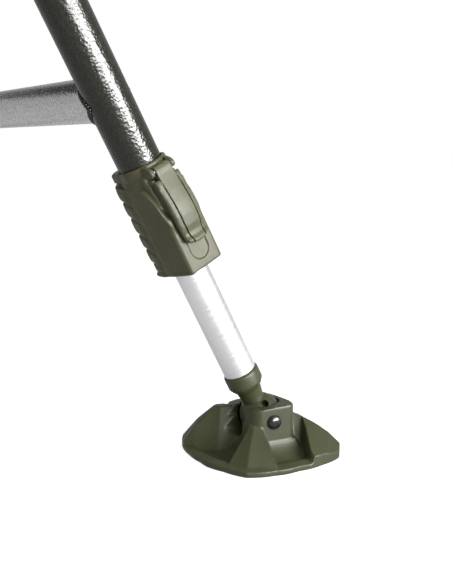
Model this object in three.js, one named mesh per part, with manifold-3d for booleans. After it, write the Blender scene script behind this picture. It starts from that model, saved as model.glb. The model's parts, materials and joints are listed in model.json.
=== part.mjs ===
// Folding carp fishing chair: padded seat and reclining back on a steel tube frame, four telescopic
// legs with cam lever clamps, and swivel mud feet. Millimetres, +Z up, +X to the front, +Y to the left.
import * as THREE from 'three';
import { mergeVertices } from 'three/addons/utils/BufferGeometryUtils.js';
import Module from 'manifold-3d';

const wasm = await Module();
wasm.setup();

const FULL_TURN = 2 * Math.PI;
const SQUARE_TURN = Math.PI / 2;
const LEFT = 1;
const RIGHT = -1;
const FRONT = 1;
const REAR = -1;

// Frame tube, its clearances, the overrun of cuts and the lap of welded pieces
const tubeRadius = 12.5;
const tubeWall = 1.3;
const clearance = 0.3;
const overrun = 1;
const weldLap = 1;
const tubeSides = 16;
const screwHoleSides = 8;

// Seat frame: half width between rail centres, and how far it reaches to the front and the back
const railSpan = 257;
const frontReach = 262;
const railRear = 262;
const cornerRadius = 55;
const hoopStraight = 1.6;
const rearBarInset = 24;

// Leg pivots: how far they lie before and behind the middle, below the rails, and beside them
const legPivotReach = 170;
const pivotDrop = 30;
const legOffset = 30;
const legTopLength = 12;

// Legs: lean from upright, the outward turn of the front pair, and stations up from the foot's pin
const legLean = THREE.MathUtils.degToRad(26);
const frontLegToe = THREE.MathUtils.degToRad(11);
const legLength = 360;
const pinHeight = 25;
const ferruleFoot = 21;
const ferruleTop = 32;
const clampBottom = 106;
const outerTubeEnd = 150;
const clampTop = 174;
const crossTubeStation = 209;
const innerTubeTop = 278;
const innerRadius = 10;
const innerWall = 1.2;
const innerGap = 1.2;

// Back frame: pivot above the rail, lean at rest, where the straight tubes end and the hoop's top
const backPivotRise = 90;
const backPivotBehind = 224;
const backLean = THREE.MathUtils.degToRad(20);
const backStraight = 440;
const backHeight = 560;
const backBarRise = 20;
const backBarRadius = 10;
const backTubeFoot = 14;

// Recline plate: thickness, slot radius, and how far the back swings behind its rest
const plateThickness = 3;
const slotRadius = 42;
const plateRim = 12;
const plateHalfWidth = 40;
const reclineBack = THREE.MathUtils.degToRad(25);
const screwRadius = 4;
const screwClearance = 0.5;

// Cushions: what they lie clear of, how thick their flaps are, and how far they overhang
const padGap = 0.8;
const padFlapRise = 26;
const padDrop = 4;
const padOverhang = 10;
const padSideReach = 11;
const backPadStart = 64;

const railHeight = pinHeight + legLength * Math.cos(legLean) + pivotDrop;
const pivotHeight = railHeight - pivotDrop;
const railFront = frontReach - cornerRadius - hoopStraight;
const backPivotHeight = railHeight + backPivotRise;

const paint = { color: 0x2b2d22, roughness: 0.45, metalness: 0.4 };
const olive = { color: 0x55563f, roughness: 0.5, metalness: 0 };
const blackPlastic = { color: 0x1c1b1d, roughness: 0.4, metalness: 0 };
const aluminium = { color: 0xd9d9dc, roughness: 0.3, metalness: 1 };
const steel = { color: 0x9a9a98, roughness: 0.35, metalness: 1 };
const cloth = { color: 0x3c4030, roughness: 0.95, metalness: 0 };

// Solids: a closed mesh goes in, and joins and cuts come back as plain geometry with faces out

function toSolid(source) {
  let geometry = source.clone();
  geometry.deleteAttribute('normal');
  geometry.deleteAttribute('uv');
  geometry = mergeVertices(geometry);
  const points = new Float32Array(geometry.attributes.position.array);
  const index = geometry.index.array;
  const triangles = [];
  for (let i = 0; i < index.length; i += 3) {
    const [a, b, c] = [index[i], index[i + 1], index[i + 2]];
    if (a !== b && b !== c && c !== a) triangles.push([a, b, c]);
  }
  const make = (faces) => new wasm.Manifold(new wasm.Mesh({
    numProp: 3,
    vertProperties: points,
    triVerts: new Uint32Array(faces.flat()),
  }));
  const solid = make(triangles);
  return solid.volume() > 0 ? solid : make(triangles.map(([a, b, c]) => [a, c, b]));
}

function toGeometry(solid) {
  const mesh = solid.getMesh();
  const geometry = new THREE.BufferGeometry();
  geometry.setAttribute('position', new THREE.BufferAttribute(mesh.vertProperties, 3));
  geometry.setIndex(new THREE.BufferAttribute(mesh.triVerts, 1));
  return geometry;
}

function joined(geometries) {
  return geometries.map(toSolid).reduce((whole, piece) => whole.add(piece));
}

function cut(body, tools) {
  const solid = body instanceof THREE.BufferGeometry ? toSolid(body) : body;
  return toGeometry(tools.map(toSolid).reduce((whole, tool) => whole.subtract(tool), solid));
}

function at(x, y, z) {
  return new THREE.Vector3(x, y, z);
}

// A bar of round section from one point to another
function rod(from, to, radius, sides = tubeSides) {
  const reach = new THREE.Vector3().subVectors(to, from);
  const geometry = new THREE.CylinderGeometry(radius, radius, reach.length(), sides);
  const heading = reach.clone().normalize();
  geometry.applyQuaternion(new THREE.Quaternion().setFromUnitVectors(at(0, 1, 0), heading));
  const middle = new THREE.Vector3().addVectors(from, to).divideScalar(2);
  return geometry.translate(middle.x, middle.y, middle.z);
}

// A turned piece about the Z axis; the profile lists [radius, height] pairs
function turned(profile, sides = tubeSides) {
  const points = profile.map(([radius, height]) => new THREE.Vector2(radius, height));
  return new THREE.LatheGeometry(points, sides).rotateX(SQUARE_TURN);
}

function tube(length, outer, wall) {
  const inner = outer - wall;
  return turned([[outer, 0], [outer, length], [inner, length], [inner, 0], [outer, 0]]);
}

// A tube whose upper end is pressed shut in a low dome: shares of the radius, and drops from the
// top as shares of the wall, outside and inside
const domeOuterShares = [[1, 2], [0.86, 0.5], [0, 0]];
const domeInnerShares = [[0, 1], [0.8, 1.6], [1, 3]];

function closedTube(length, outer, wall) {
  const inner = outer - wall;
  const dome = (radius, shares) => shares.map(([share, drop]) => [radius * share, length - drop * wall]);
  return turned([
    [inner, 0], [outer, 0], ...dome(outer, domeOuterShares), ...dome(inner, domeInnerShares), [inner, 0],
  ]);
}

// A low domed head, from its rim to its crown: shares of its radius and its rise
const domedHeadShares = [[1, 0], [0.75, 0.75], [0, 1]];

function domedHead(radius, rise, seat, way) {
  const profile = domedHeadShares.map(([across, up]) => [radius * across, seat + way * rise * up]);
  return way > 0 ? profile : profile.reverse();
}

// A block between two opposite corners, given in any order
function block(one, other) {
  const low = one.clone().min(other);
  const size = one.clone().max(other).sub(low);
  const geometry = new THREE.BoxGeometry(size.x, size.y, size.z);
  const middle = low.addScaledVector(size, 1 / 2);
  return geometry.translate(middle.x, middle.y, middle.z);
}

// A flat plate drawn in X and Z, standing between two values of Y given in any order
function upright(shape, one, other, curveSegments) {
  const depth = Math.abs(other - one);
  const geometry = new THREE.ExtrudeGeometry(shape, { depth, bevelEnabled: false, curveSegments });
  return geometry.rotateX(SQUARE_TURN).translate(0, Math.max(one, other), 0);
}

// Rows of equal count, joined side to side; an open run is closed at both ends
function skinned(rows, closedLoop = false) {
  const count = rows[0].length;
  const positions = rows.flat().flatMap((point) => [point.x, point.y, point.z]);
  const index = [];
  const bands = closedLoop ? rows.length : rows.length - 1;
  for (let band = 0; band < bands; band++) {
    const near = band * count;
    const far = ((band + 1) % rows.length) * count;
    for (let i = 0; i < count; i++) {
      const next = (i + 1) % count;
      index.push(near + i, near + next, far + next, near + i, far + next, far + i);
    }
  }
  if (!closedLoop) {
    const last = (rows.length - 1) * count;
    for (let i = 1; i < count - 1; i++) {
      index.push(0, i + 1, i, last, last + i, last + i + 1);
    }
  }
  return indexed(positions, index);
}

function indexed(positions, index) {
  const geometry = new THREE.BufferGeometry();
  geometry.setAttribute('position', new THREE.Float32BufferAttribute(positions, 3));
  geometry.setIndex(index);
  return geometry;
}

// The object, and how a piece gets into it

const chair = new THREE.Group();

function addPiece(parent, name, geometry, look) {
  const mesh = new THREE.Mesh(geometry, new THREE.MeshStandardMaterial(look));
  mesh.name = name;
  parent.add(mesh);
}

// Leg places: where each leg's pivot lies and how its own frame is turned in the chair.
// On a leg, Z runs up the tube from the foot's pin and Y is the axis that the foot turns on.

const legPlaces = [
  { name: 'front_left', end: FRONT, hand: LEFT, toe: frontLegToe, side: railSpan + legOffset },
  { name: 'front_right', end: FRONT, hand: RIGHT, toe: -frontLegToe, side: railSpan + legOffset },
  { name: 'rear_left', end: REAR, hand: LEFT, toe: 0, side: railSpan - legOffset },
  { name: 'rear_right', end: REAR, hand: RIGHT, toe: 0, side: railSpan - legOffset },
];
for (const leg of legPlaces) {
  leg.pivot = at(leg.end * legPivotReach, leg.hand * leg.side, pivotHeight);
  leg.turn = new THREE.Euler(0, -legLean, leg.end === FRONT ? leg.toe : Math.PI, 'ZYX');
  leg.outward = leg.end * leg.hand;
}

// The centre line's point at a station of a leg, in the chair
function onLeg(leg, station) {
  return at(0, 0, station - legLength).applyEuler(leg.turn).add(leg.pivot);
}

function legTool(leg) {
  return rod(onLeg(leg, 0), onLeg(leg, legLength + legTopLength + overrun), tubeRadius + clearance);
}

// Leg tubes: the painted outer tube is bored for its pivot rivet, the bright inner tube slides in it

function outerTubeShape(leg) {
  const length = legLength - outerTubeEnd + legTopLength;
  const body = closedTube(length, tubeRadius, tubeRadius - innerRadius - innerGap)
    .translate(0, 0, outerTubeEnd);
  const back = new THREE.Quaternion().setFromEuler(leg.turn).invert();
  const sideways = at(0, 2 * tubeRadius, 0).applyQuaternion(back);
  const middle = at(0, 0, legLength);
  const [from, to] = [middle.clone().sub(sideways), middle.clone().add(sideways)];
  return cut(body, [rod(from, to, screwRadius + screwClearance, screwHoleSides)]);
}

function innerTubeShape() {
  const foot = ferruleTop + clearance;
  return tube(innerTubeTop - foot, innerRadius, innerWall).translate(0, 0, foot);
}

// Clamp body: a moulded sleeve round both tubes, flat at its lever face, with finger ribs behind and
// a round collar on top. Half of its outline runs from the lever face round to the back, in shares
// of the half width and of the reaches to the face and to the back.

const clampTurn = THREE.MathUtils.degToRad(15);
const clampHalf = 14.4;
const clampFaceReach = 19.3;
const clampHingeFace = 15;
const clampFaceBend = 148;
const clampHinge = 166;
const clampBackReach = 18.8;
const clampOutlineShares = [
  [0.7, -1], [0.86, -0.78], [0.96, -0.2], [1, 0.32], [0.93, 0.72], [0.64, 0.94], [0, 1],
];
const clampEdge = 1.5;
const clampEdgeInset = 0.8;
const clampShoulder = 6;
const collarHeight = 2.5;
const collarWall = 2;
const ribStart = 14;
const ribPitch = 9.6;
const ribDepth = 1.3;
const ribCount = 5;
const leverPinStation = 166.5;
const leverPinReach = 17.6;
const leverPinRadius = 1.5;
const leverPinSides = 10;
const knuckleHalf = 5.5;
const knuckleRadius = 3.2;
const earRadius = 3.2;
const earWidth = 2.6;
const earRootShare = 0.67;
const leverTop = 162.3;
const leverLip = 123.5;
const leverHalf = 8.8;
const leverLipHalf = 7.5;
const leverSwing = 3.6;
const tongueBottom = 126;
const tongueTop = 144;
const tongueHalf = 5;
const tongueSlit = 1.2;
const thumbRadius = 6.5;
const thumbReach = 7.5;
const thumbDepth = 2.2;
const thumbFoot = 6.5;
const thumbTop = 13;

// How far the lever face lies before the leg's middle: above its bend it runs in towards the hinge
function clampFaceAt(station) {
  const share = (station - clampFaceBend) / (clampHinge - clampFaceBend);
  return THREE.MathUtils.lerp(clampFaceReach, clampHingeFace, Math.min(1, Math.max(0, share)));
}

// The outline at a station; its back swells by a rib's depth or shrinks by the edge's inset
function clampSection(station, swell) {
  const side = clampOutlineShares.map(([across, along]) => {
    const reach = along > 0 ? clampBackReach : clampFaceAt(station);
    const point = new THREE.Vector2(across * clampHalf, along * reach);
    return along > 0 ? point.setLength(point.length() + swell) : point;
  });
  return wholeOutline(side, station);
}

// The collar's ring, with a corner in the direction of each corner of the outline
function collarSection(station, radius) {
  const side = clampOutlineShares.map(([across, along]) => {
    const reach = along > 0 ? clampBackReach : clampFaceReach;
    return new THREE.Vector2(across * clampHalf, along * reach).setLength(radius);
  });
  return wholeOutline(side, station);
}

function wholeOutline(side, station) {
  const other = side.slice(0, -1).reverse().map((point) => new THREE.Vector2(-point.x, point.y));
  return [...side, ...other].map((point) => at(point.x, point.y, station));
}

function clampSleeve() {
  const collarRadius = tubeRadius + clearance + collarWall;
  const rows = [clampSection(clampBottom, -clampEdgeInset), clampSection(clampBottom + clampEdge, 0)];
  for (let rib = 0; rib < ribCount; rib++) {
    const groove = clampBottom + ribStart + rib * ribPitch;
    rows.push(clampSection(groove, 0), clampSection(groove + ribPitch / 2, ribDepth));
  }
  rows.push(clampSection(clampTop - clampShoulder, 0));
  rows.push(collarSection(clampTop - collarHeight, collarRadius));
  rows.push(collarSection(clampTop, collarRadius));
  return skinned(rows);
}

// A hinge ear beside the lever, with a round end about the lever's pin
function clampEar(hand) {
  const [near, far] = [hand * (knuckleHalf + clearance), hand * (knuckleHalf + clearance + earWidth)];
  const end = rod(at(near, -leverPinReach, leverPinStation), at(far, -leverPinReach, leverPinStation),
    earRadius, leverPinSides);
  const root = block(at(near, -leverPinReach, leverPinStation - earRadius),
    at(far, -clampFaceReach * earRootShare, leverPinStation + earRadius));
  return joined([end, root]);
}

function clampBodyShape(leg) {
  const ears = [LEFT, RIGHT].map(clampEar);
  const whole = ears.reduce((sum, ear) => sum.add(ear), toSolid(clampSleeve()));
  const bore = rod(at(0, 0, clampBottom - overrun), at(0, 0, clampTop + overrun),
    innerRadius + clearance);
  const seat = rod(at(0, 0, outerTubeEnd - clearance), at(0, 0, clampTop + overrun),
    tubeRadius + clearance);
  // A slit on three sides frees the tongue that the lever's cam presses on the inner tube
  const [slitNear, slitFar] = [-clampFaceReach - overrun, -innerRadius / 2];
  const slitHalf = tongueHalf + tongueSlit;
  const slits = [
    block(at(-slitHalf, slitNear, tongueBottom), at(-tongueHalf, slitFar, tongueTop + tongueSlit)),
    block(at(tongueHalf, slitNear, tongueBottom), at(slitHalf, slitFar, tongueTop + tongueSlit)),
    block(at(-slitHalf, slitNear, tongueTop), at(slitHalf, slitFar, tongueTop + tongueSlit)),
  ];
  const pocketHalf = knuckleHalf + clearance;
  const pocket = rod(at(-pocketHalf, -leverPinReach, leverPinStation),
    at(pocketHalf, -leverPinReach, leverPinStation), leverSwing, leverPinSides);
  const thumb = rod(at(0, -clampFaceReach - thumbReach, clampBottom + thumbFoot),
    at(0, -clampFaceReach + thumbDepth, clampBottom + thumbTop), thumbRadius, leverPinSides);
  return facing(leg, cut(whole, [bore, seat, leverPinHole(), pocket, thumb, ...slits]));
}

function leverPinHole() {
  return rod(at(-leverPinReach, -leverPinReach, leverPinStation),
    at(leverPinReach, -leverPinReach, leverPinStation), leverPinRadius + clearance, leverPinSides);
}

// Pieces of the clamp are drawn with the lever towards -Y. Each leg turns them so that the lever
// faces outwards from the chair, and a little to the side that the leg's foot stands out to.
function facing(leg, geometry) {
  return geometry.rotateZ(leg.outward === LEFT ? Math.PI - clampTurn : clampTurn);
}

// Cam lever: a broad curved panel with a lip over the thumb recess, hung by a narrower knuckle between
// the ears. Its side profile is in shares of its thickness, outwards, and of its length, upwards.

const leverThickness = 4.6;
const leverGap = 0.4;
const leverProfileShares = [
  [-0.717, 1], [-0.5, 0.889], [0, 0.644], [0, 0.129], [0.196, 0.018], [0.413, 0], [0.63, 0.028],
  [0.761, 0.103], [0.935, 0.232], [1, 0.425], [0.826, 0.631], [0.5, 0.838], [0.196, 1],
];
const bridgeInnerShare = -0.717;
const bridgeOuterShare = 0.15;
const leverFlareShare = 0.3;
const leverCrownShare = 0.6;
const leverEdgeShare = 0.25;

function leverShape(leg) {
  const inner = clampFaceReach + leverGap;
  const columns = [-1, -leverCrownShare, leverCrownShare, 1];
  const rows = leverProfileShares.map(([out, up]) => {
    const half = leverLipHalf + (leverHalf - leverLipHalf) * Math.min(1, up / leverFlareShare);
    return columns.map((across) => {
      const drawnIn = Math.abs(across) < 1 ? 0 : leverEdgeShare;
      const reach = inner + out * (1 - drawnIn) * leverThickness;
      return at(across * half, -reach, leverLip + up * (leverTop - leverLip));
    });
  });
  const width = columns.length;
  const positions = rows.flat().flatMap((point) => [point.x, point.y, point.z]);
  const index = [];
  for (let row = 0; row < rows.length; row++) {
    const next = (row + 1) % rows.length;
    for (let column = 0; column < width - 1; column++) {
      const [a, b] = [row * width + column, row * width + column + 1];
      const [c, d] = [next * width + column + 1, next * width + column];
      index.push(a, b, c, a, c, d);
    }
  }
  const profile = leverProfileShares.map(([out, up]) => new THREE.Vector2(
    inner + out * leverThickness, leverLip + up * (leverTop - leverLip)));
  for (const face of THREE.ShapeUtils.triangulateShape(profile, [])) {
    index.push(...face.map((corner) => corner * width));
    index.push(...face.map((corner) => corner * width + width - 1).reverse());
  }
  const bridge = block(at(-knuckleHalf, -inner - bridgeInnerShare * leverThickness, leverTop - weldLap),
    at(knuckleHalf, -inner - bridgeOuterShare * leverThickness, leverPinStation));
  const knuckle = rod(at(-knuckleHalf, -leverPinReach, leverPinStation),
    at(knuckleHalf, -leverPinReach, leverPinStation), knuckleRadius, leverPinSides);
  const whole = joined([indexed(positions, index), knuckle, bridge]);
  return facing(leg, cut(whole, [leverPinHole()]));
}

function leverPinShape(leg) {
  const half = knuckleHalf + clearance + earWidth;
  return facing(leg, rod(at(-half, -leverPinReach, leverPinStation),
    at(half, -leverPinReach, leverPinStation), leverPinRadius, leverPinSides));
}

// Foot stem: plug in the inner tube, ferrule, tapered neck and the ball that the pin crosses

const ballRadius = 12.8;
const ballFlat = 9.5;
const ballSteps = 5;
const neckRadius = 6.4;
const neckFlare = 0.6;
const neckFlareRise = 4;
const ferruleRadius = 11;
const ferruleShares = [[0.873, 0], [0.945, 0.145], [1, 0.873], [0.955, 1]];
const stemPlugTop = 52;
const plugEdge = 2;
const footPinRadius = 3;
const stemSides = 10;

function stemShape() {
  const profile = [];
  for (let i = 0; i <= ballSteps; i++) {
    const reach = Math.PI - Math.asin(neckRadius / ballRadius);
    const turn = -SQUARE_TURN + reach * i / ballSteps;
    profile.push([Math.max(0, ballRadius * Math.cos(turn)), ballRadius * Math.sin(turn)]);
  }
  profile.push([neckRadius + neckFlare, ferruleFoot - neckFlareRise]);
  for (const [across, up] of ferruleShares) {
    profile.push([ferruleRadius * across, ferruleFoot + (ferruleTop - ferruleFoot) * up]);
  }
  const bore = innerRadius - innerWall - clearance;
  profile.push([bore, ferruleTop], [bore, stemPlugTop - plugEdge], [bore - plugEdge, stemPlugTop]);
  profile.push([0, stemPlugTop]);
  const body = turned(profile, stemSides);
  const hole = rod(at(0, -2 * ballRadius, 0), at(0, 2 * ballRadius, 0), footPinRadius + clearance,
    screwHoleSides);
  const cheeks = [LEFT, RIGHT].map((hand) => block(at(-ballRadius, hand * ballFlat, -ballRadius),
    at(ballRadius, hand * 2 * ballRadius, ballRadius)));
  return cut(body, [hole, ...cheeks]);
}

// Mud foot: four tent-shaped lobes round a socket, with a scoop between each two of them

const lobeCount = 4;
const footRadius = 50;
const footWaist = 43;
const footSole = 3.6;
const soleEdge = 1.2;
const soleEdgeShare = 0.97;
const lobeRise = 20;
const lobeTipHeight = 6.5;
const tentDropShare = 0.32;
const footRingShares = [1, 0.6, 0.3];
const scoopStart = 13.5;
const hubHalfLength = 15;
const hubHalfWidth = 19;
const hubCorner = 5;
const hubTop = 9.5;
const socketGap = 1.2;
const neckGap = 1.1;
const lobeHalf = Math.PI / lobeCount;
const lobeEdge = THREE.MathUtils.degToRad(27);
const lobeFoot = THREE.MathUtils.degToRad(33);
const slotForward = THREE.MathUtils.degToRad(31.5);
const slotBack = THREE.MathUtils.degToRad(96);

// Height of the foot's upper side, at a radius and at an angle from the nearest lobe's ridge
function footHeight(radius, offset) {
  const reach = (radius - hubHalfLength) / (footRadius - hubHalfLength);
  const along = Math.min(1, Math.max(0, reach));
  const ridge = lobeRise + (lobeTipHeight - lobeRise) * along;
  const crest = ridge * (1 - tentDropShare * Math.min(1, offset / lobeEdge));
  return offset <= lobeEdge || radius < scoopStart ? crest : footSole;
}

function footDish() {
  const offsets = [0, lobeEdge, lobeFoot, lobeHalf];
  const turns = [];
  for (let lobe = 0; lobe < lobeCount; lobe++) {
    const centre = lobeHalf + lobe * 2 * lobeHalf;
    for (const offset of [...offsets].reverse()) turns.push({ turn: centre - offset, offset });
    for (const offset of offsets.slice(1, -1)) turns.push({ turn: centre + offset, offset });
  }
  const ring = (share, height) => turns.map(({ turn, offset }) => {
    const rim = footWaist + (footRadius - footWaist) * Math.sqrt(1 - offset / lobeHalf);
    const radius = rim * share;
    return at(radius * Math.cos(turn), radius * Math.sin(turn), height(radius, offset));
  });
  const rim = ring(1, (radius, offset) => footHeight(radius, offset) - soleEdge);
  const upper = footRingShares.slice(1).map((share) => ring(share, footHeight));
  return skinned([ring(soleEdgeShare, () => 0), ring(1, () => soleEdge), rim, ...upper]);
}

function hubShape() {
  const plan = new THREE.Shape();
  const [x, y] = [hubHalfLength - hubCorner, hubHalfWidth - hubCorner];
  plan.absarc(x, -y, hubCorner, -SQUARE_TURN, 0);
  plan.absarc(x, y, hubCorner, 0, SQUARE_TURN);
  plan.absarc(-x, y, hubCorner, SQUARE_TURN, 2 * SQUARE_TURN);
  plan.absarc(-x, -y, hubCorner, 2 * SQUARE_TURN, 3 * SQUARE_TURN);
  const hub = new THREE.ExtrudeGeometry(plan, {
    depth: hubTop + pinHeight, bevelEnabled: false, curveSegments: 2,
  });
  return hub.translate(0, 0, -pinHeight);
}

function mudFootShape() {
  const dish = toSolid(footDish().translate(0, 0, -pinHeight));
  const socketRadius = ballRadius + socketGap;
  const cheekGap = ballFlat + clearance;
  const socket = toSolid(new THREE.SphereGeometry(socketRadius, 14, 8)).intersect(toSolid(block(
    at(-socketRadius, -cheekGap, -socketRadius), at(socketRadius, cheekGap, socketRadius))));
  const pinHole = rod(at(0, -2 * hubHalfWidth, 0), at(0, 2 * hubHalfWidth, 0),
    footPinRadius + clearance, leverPinSides);
  // The neck's slot opens to the top and to the side that the leg leans to
  const slot = new THREE.Shape();
  slot.absarc(0, 0, hubHalfWidth + ballRadius, SQUARE_TURN - slotForward, SQUARE_TURN + slotBack);
  slot.lineTo(0, 0);
  const slotHalf = neckRadius + neckGap;
  const neckSlot = upright(slot, -slotHalf, slotHalf, 3);
  return cut(dish.add(toSolid(hubShape())).subtract(socket), [pinHole, neckSlot]);
}

// Foot pin: a shaft through both cheeks with a domed black head at each end

const pinHeadRadius = 4.4;
const pinHeadRise = 2.6;

function footPinShape() {
  const half = hubHalfWidth + clearance;
  return turned([
    ...domedHead(pinHeadRadius, pinHeadRise, -half, -1),
    [footPinRadius, -half], [footPinRadius, half],
    ...domedHead(pinHeadRadius, pinHeadRise, half, 1),
  ], screwHoleSides).rotateX(SQUARE_TURN);
}

for (const leg of legPlaces) {
  const group = new THREE.Group();
  group.position.copy(onLeg(leg, 0));
  group.rotation.copy(leg.turn);
  chair.add(group);
  addPiece(group, `${leg.name}_outer_tube`, outerTubeShape(leg), paint);
  addPiece(group, `${leg.name}_clamp_body`, clampBodyShape(leg), olive);
  addPiece(group, `${leg.name}_clamp_lever`, leverShape(leg), olive);
  addPiece(group, `${leg.name}_lever_pin`, leverPinShape(leg), steel);
  addPiece(group, `${leg.name}_inner_tube`, innerTubeShape(), aluminium);
  addPiece(group, `${leg.name}_foot_stem`, stemShape(), olive);
  const foot = new THREE.Group();
  foot.rotation.y = legLean;
  group.add(foot);
  addPiece(foot, `${leg.name}_mud_foot`, mudFootShape(), olive);
  addPiece(foot, `${leg.name}_foot_pin`, footPinShape(), blackPlastic);
}

// Cross tube of a leg frame, notched round both leg tubes that it is welded to

function crossTubeShape(end) {
  const pair = legPlaces.filter((leg) => leg.end === end);
  const [from, to] = pair.map((leg) => onLeg(leg, crossTubeStation));
  const body = tube(from.distanceTo(to), tubeRadius, tubeWall).rotateX(SQUARE_TURN);
  return cut(body.translate(from.x, from.y, from.z), pair.map(legTool));
}

addPiece(chair, 'front_leg_cross_tube', crossTubeShape(FRONT), paint);
addPiece(chair, 'rear_leg_cross_tube', crossTubeShape(REAR), paint);

// Seat frame: two rails, a front hoop with round corners and a rear bar

// A hoop of tube: two legs along a direction, joined by a bar along Y through two round corners
function hoopTube(forward, legStart, legEnd) {
  const side = at(0, 1, 0);
  const bendSteps = 4;
  const sides = 10;
  const start = (hand) => legStart.clone().addScaledVector(side, hand * railSpan);
  const stations = [{ point: start(LEFT), heading: forward.clone() }];
  const reach = legEnd.clone().sub(legStart).dot(forward) - cornerRadius;
  for (const hand of [LEFT, RIGHT]) {
    const centre = legStart.clone().addScaledVector(forward, reach);
    centre.addScaledVector(side, hand * (railSpan - cornerRadius));
    for (let step = 0; step <= bendSteps; step++) {
      const share = hand === LEFT ? step / bendSteps : 1 - step / bendSteps;
      const turn = share * SQUARE_TURN;
      const point = centre.clone().addScaledVector(side, hand * cornerRadius * Math.cos(turn));
      point.addScaledVector(forward, cornerRadius * Math.sin(turn));
      const heading = forward.clone().multiplyScalar(hand * Math.cos(turn));
      heading.addScaledVector(side, -Math.sin(turn));
      stations.push({ point, heading });
    }
  }
  stations.push({ point: start(RIGHT), heading: forward.clone().negate() });
  const flat = forward.clone().cross(side);
  const rings = (radius) => stations.map((station) => {
    const across = flat.clone().cross(station.heading).normalize();
    return Array.from({ length: sides }, (_, i) => {
      const turn = i / sides * FULL_TURN;
      const point = station.point.clone().addScaledVector(flat, radius * Math.cos(turn));
      return point.addScaledVector(across, radius * Math.sin(turn));
    });
  });
  const inner = rings(tubeRadius - tubeWall).reverse();
  return toGeometry(toSolid(skinned([...rings(tubeRadius), ...inner], true)));
}

function railShape(hand) {
  const body = closedTube(railFront + railRear, tubeRadius, tubeWall).rotateY(-SQUARE_TURN);
  return toGeometry(toSolid(body.translate(railFront, hand * railSpan, railHeight)));
}

function rearBarShape() {
  const body = tube(2 * railSpan, tubeRadius, tubeWall).rotateX(SQUARE_TURN);
  const rails = [LEFT, RIGHT].map((hand) => rod(at(-railRear - overrun, hand * railSpan, railHeight),
    at(railFront, hand * railSpan, railHeight), tubeRadius + clearance));
  return cut(body.translate(-railRear + rearBarInset, railSpan, railHeight), rails);
}

addPiece(chair, 'seat_rail_left', railShape(LEFT), paint);
addPiece(chair, 'seat_rail_right', railShape(RIGHT), paint);
addPiece(chair, 'seat_front_hoop',
  hoopTube(at(1, 0, 0), at(railFront + clearance, 0, railHeight), at(frontReach, 0, railHeight)), paint);
addPiece(chair, 'seat_rear_bar', rearBarShape(), paint);

// Leg brackets: a drop plate welded to the side of the rail, with a tab that stops the open leg.
// The corners are in shares of its half length, towards the leg's end of the chair, and of its
// rise above the pivot or its drop below it.

const bracketGap = tubeRadius + clearance;
const bracketHalf = 34;
const bracketRise = 33;
const bracketDrop = 31;
const bracketCornerShares = [
  [-0.53, 1], [0.65, 1], [1, -0.45], [1, -0.9], [0.59, -1], [-0.41, -0.39], [-0.59, 0],
];
const tabLength = 16;
const tabThickness = 3;
const tabReach = 13;
const tabDrop = 12;
const tabGap = 1.3;
const bracketHoleSides = 12;

// Which side of its rail a leg hangs on: outside it is positive
function legSide(leg) {
  return Math.sign(leg.side - railSpan);
}

function bracketShape(leg) {
  const outward = leg.hand * legSide(leg);
  const near = leg.hand * railSpan + outward * bracketGap;
  const far = near + outward * plateThickness;
  const shape = new THREE.Shape(bracketCornerShares.map(([along, up]) => new THREE.Vector2(
    leg.pivot.x + leg.end * along * bracketHalf,
    leg.pivot.z + up * (up > 0 ? bracketRise : bracketDrop))));
  const plate = upright(shape, near, far, 1);
  const tabNear = far - outward * weldLap;
  const tabStart = leg.end * (tubeRadius + tabGap);
  const tab = block(at(tabStart, tabNear, -tabDrop - tabLength),
    at(tabStart + leg.end * tabThickness, tabNear + outward * tabReach, -tabDrop));
  tab.rotateY(-leg.end * legLean).translate(leg.pivot.x, 0, leg.pivot.z);
  const hole = rod(leg.pivot.clone().setY(near - outward * overrun),
    leg.pivot.clone().setY(far + outward * overrun), screwRadius + screwClearance, bracketHoleSides);
  return cut(joined([plate, tab]), [hole]);
}

// Shouldered rivets: a head outside the leg tube, a collar between tube and bracket, a head inside

const headRadius = 8;
const headRise = 3;
const collarRadius = 6.5;
const collarGap = 0.6;
const rivetPlay = 1.2;

function rivetShape(leg) {
  const side = legSide(leg);
  const bracketNear = railSpan + side * bracketGap;
  const reach = (value) => side * (value - bracketNear);
  const bracketFar = plateThickness + clearance;
  const tubeNear = reach(leg.side - side * tubeRadius) - collarGap;
  const tubeFar = reach(leg.side + side * tubeRadius) + rivetPlay;
  const rivet = turned([
    ...domedHead(headRadius, headRise, -clearance, -1), [screwRadius, -clearance],
    [screwRadius, bracketFar], [collarRadius, bracketFar],
    [collarRadius, tubeNear], [screwRadius, tubeNear], [screwRadius, tubeFar],
    ...domedHead(headRadius, headRise, tubeFar, 1),
  ], screwHoleSides);
  rivet.rotateX(-side * leg.hand * SQUARE_TURN);
  return toGeometry(toSolid(rivet.translate(leg.pivot.x, leg.hand * bracketNear, leg.pivot.z)));
}

for (const leg of legPlaces) {
  addPiece(chair, `${leg.name}_leg_bracket`, bracketShape(leg), paint);
  addPiece(chair, `${leg.name}_pivot_rivet`, rivetShape(leg), steel);
}

// Recline plates: each stands on a rail and holds the back's pivot and the knob's arc slot

const plateNear = railSpan + tubeRadius + clearance;
const plateFar = plateNear + plateThickness;
const plateFootShare = 0.7;
const slotGap = 0.7;
const slotPlay = 0.02;

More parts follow.
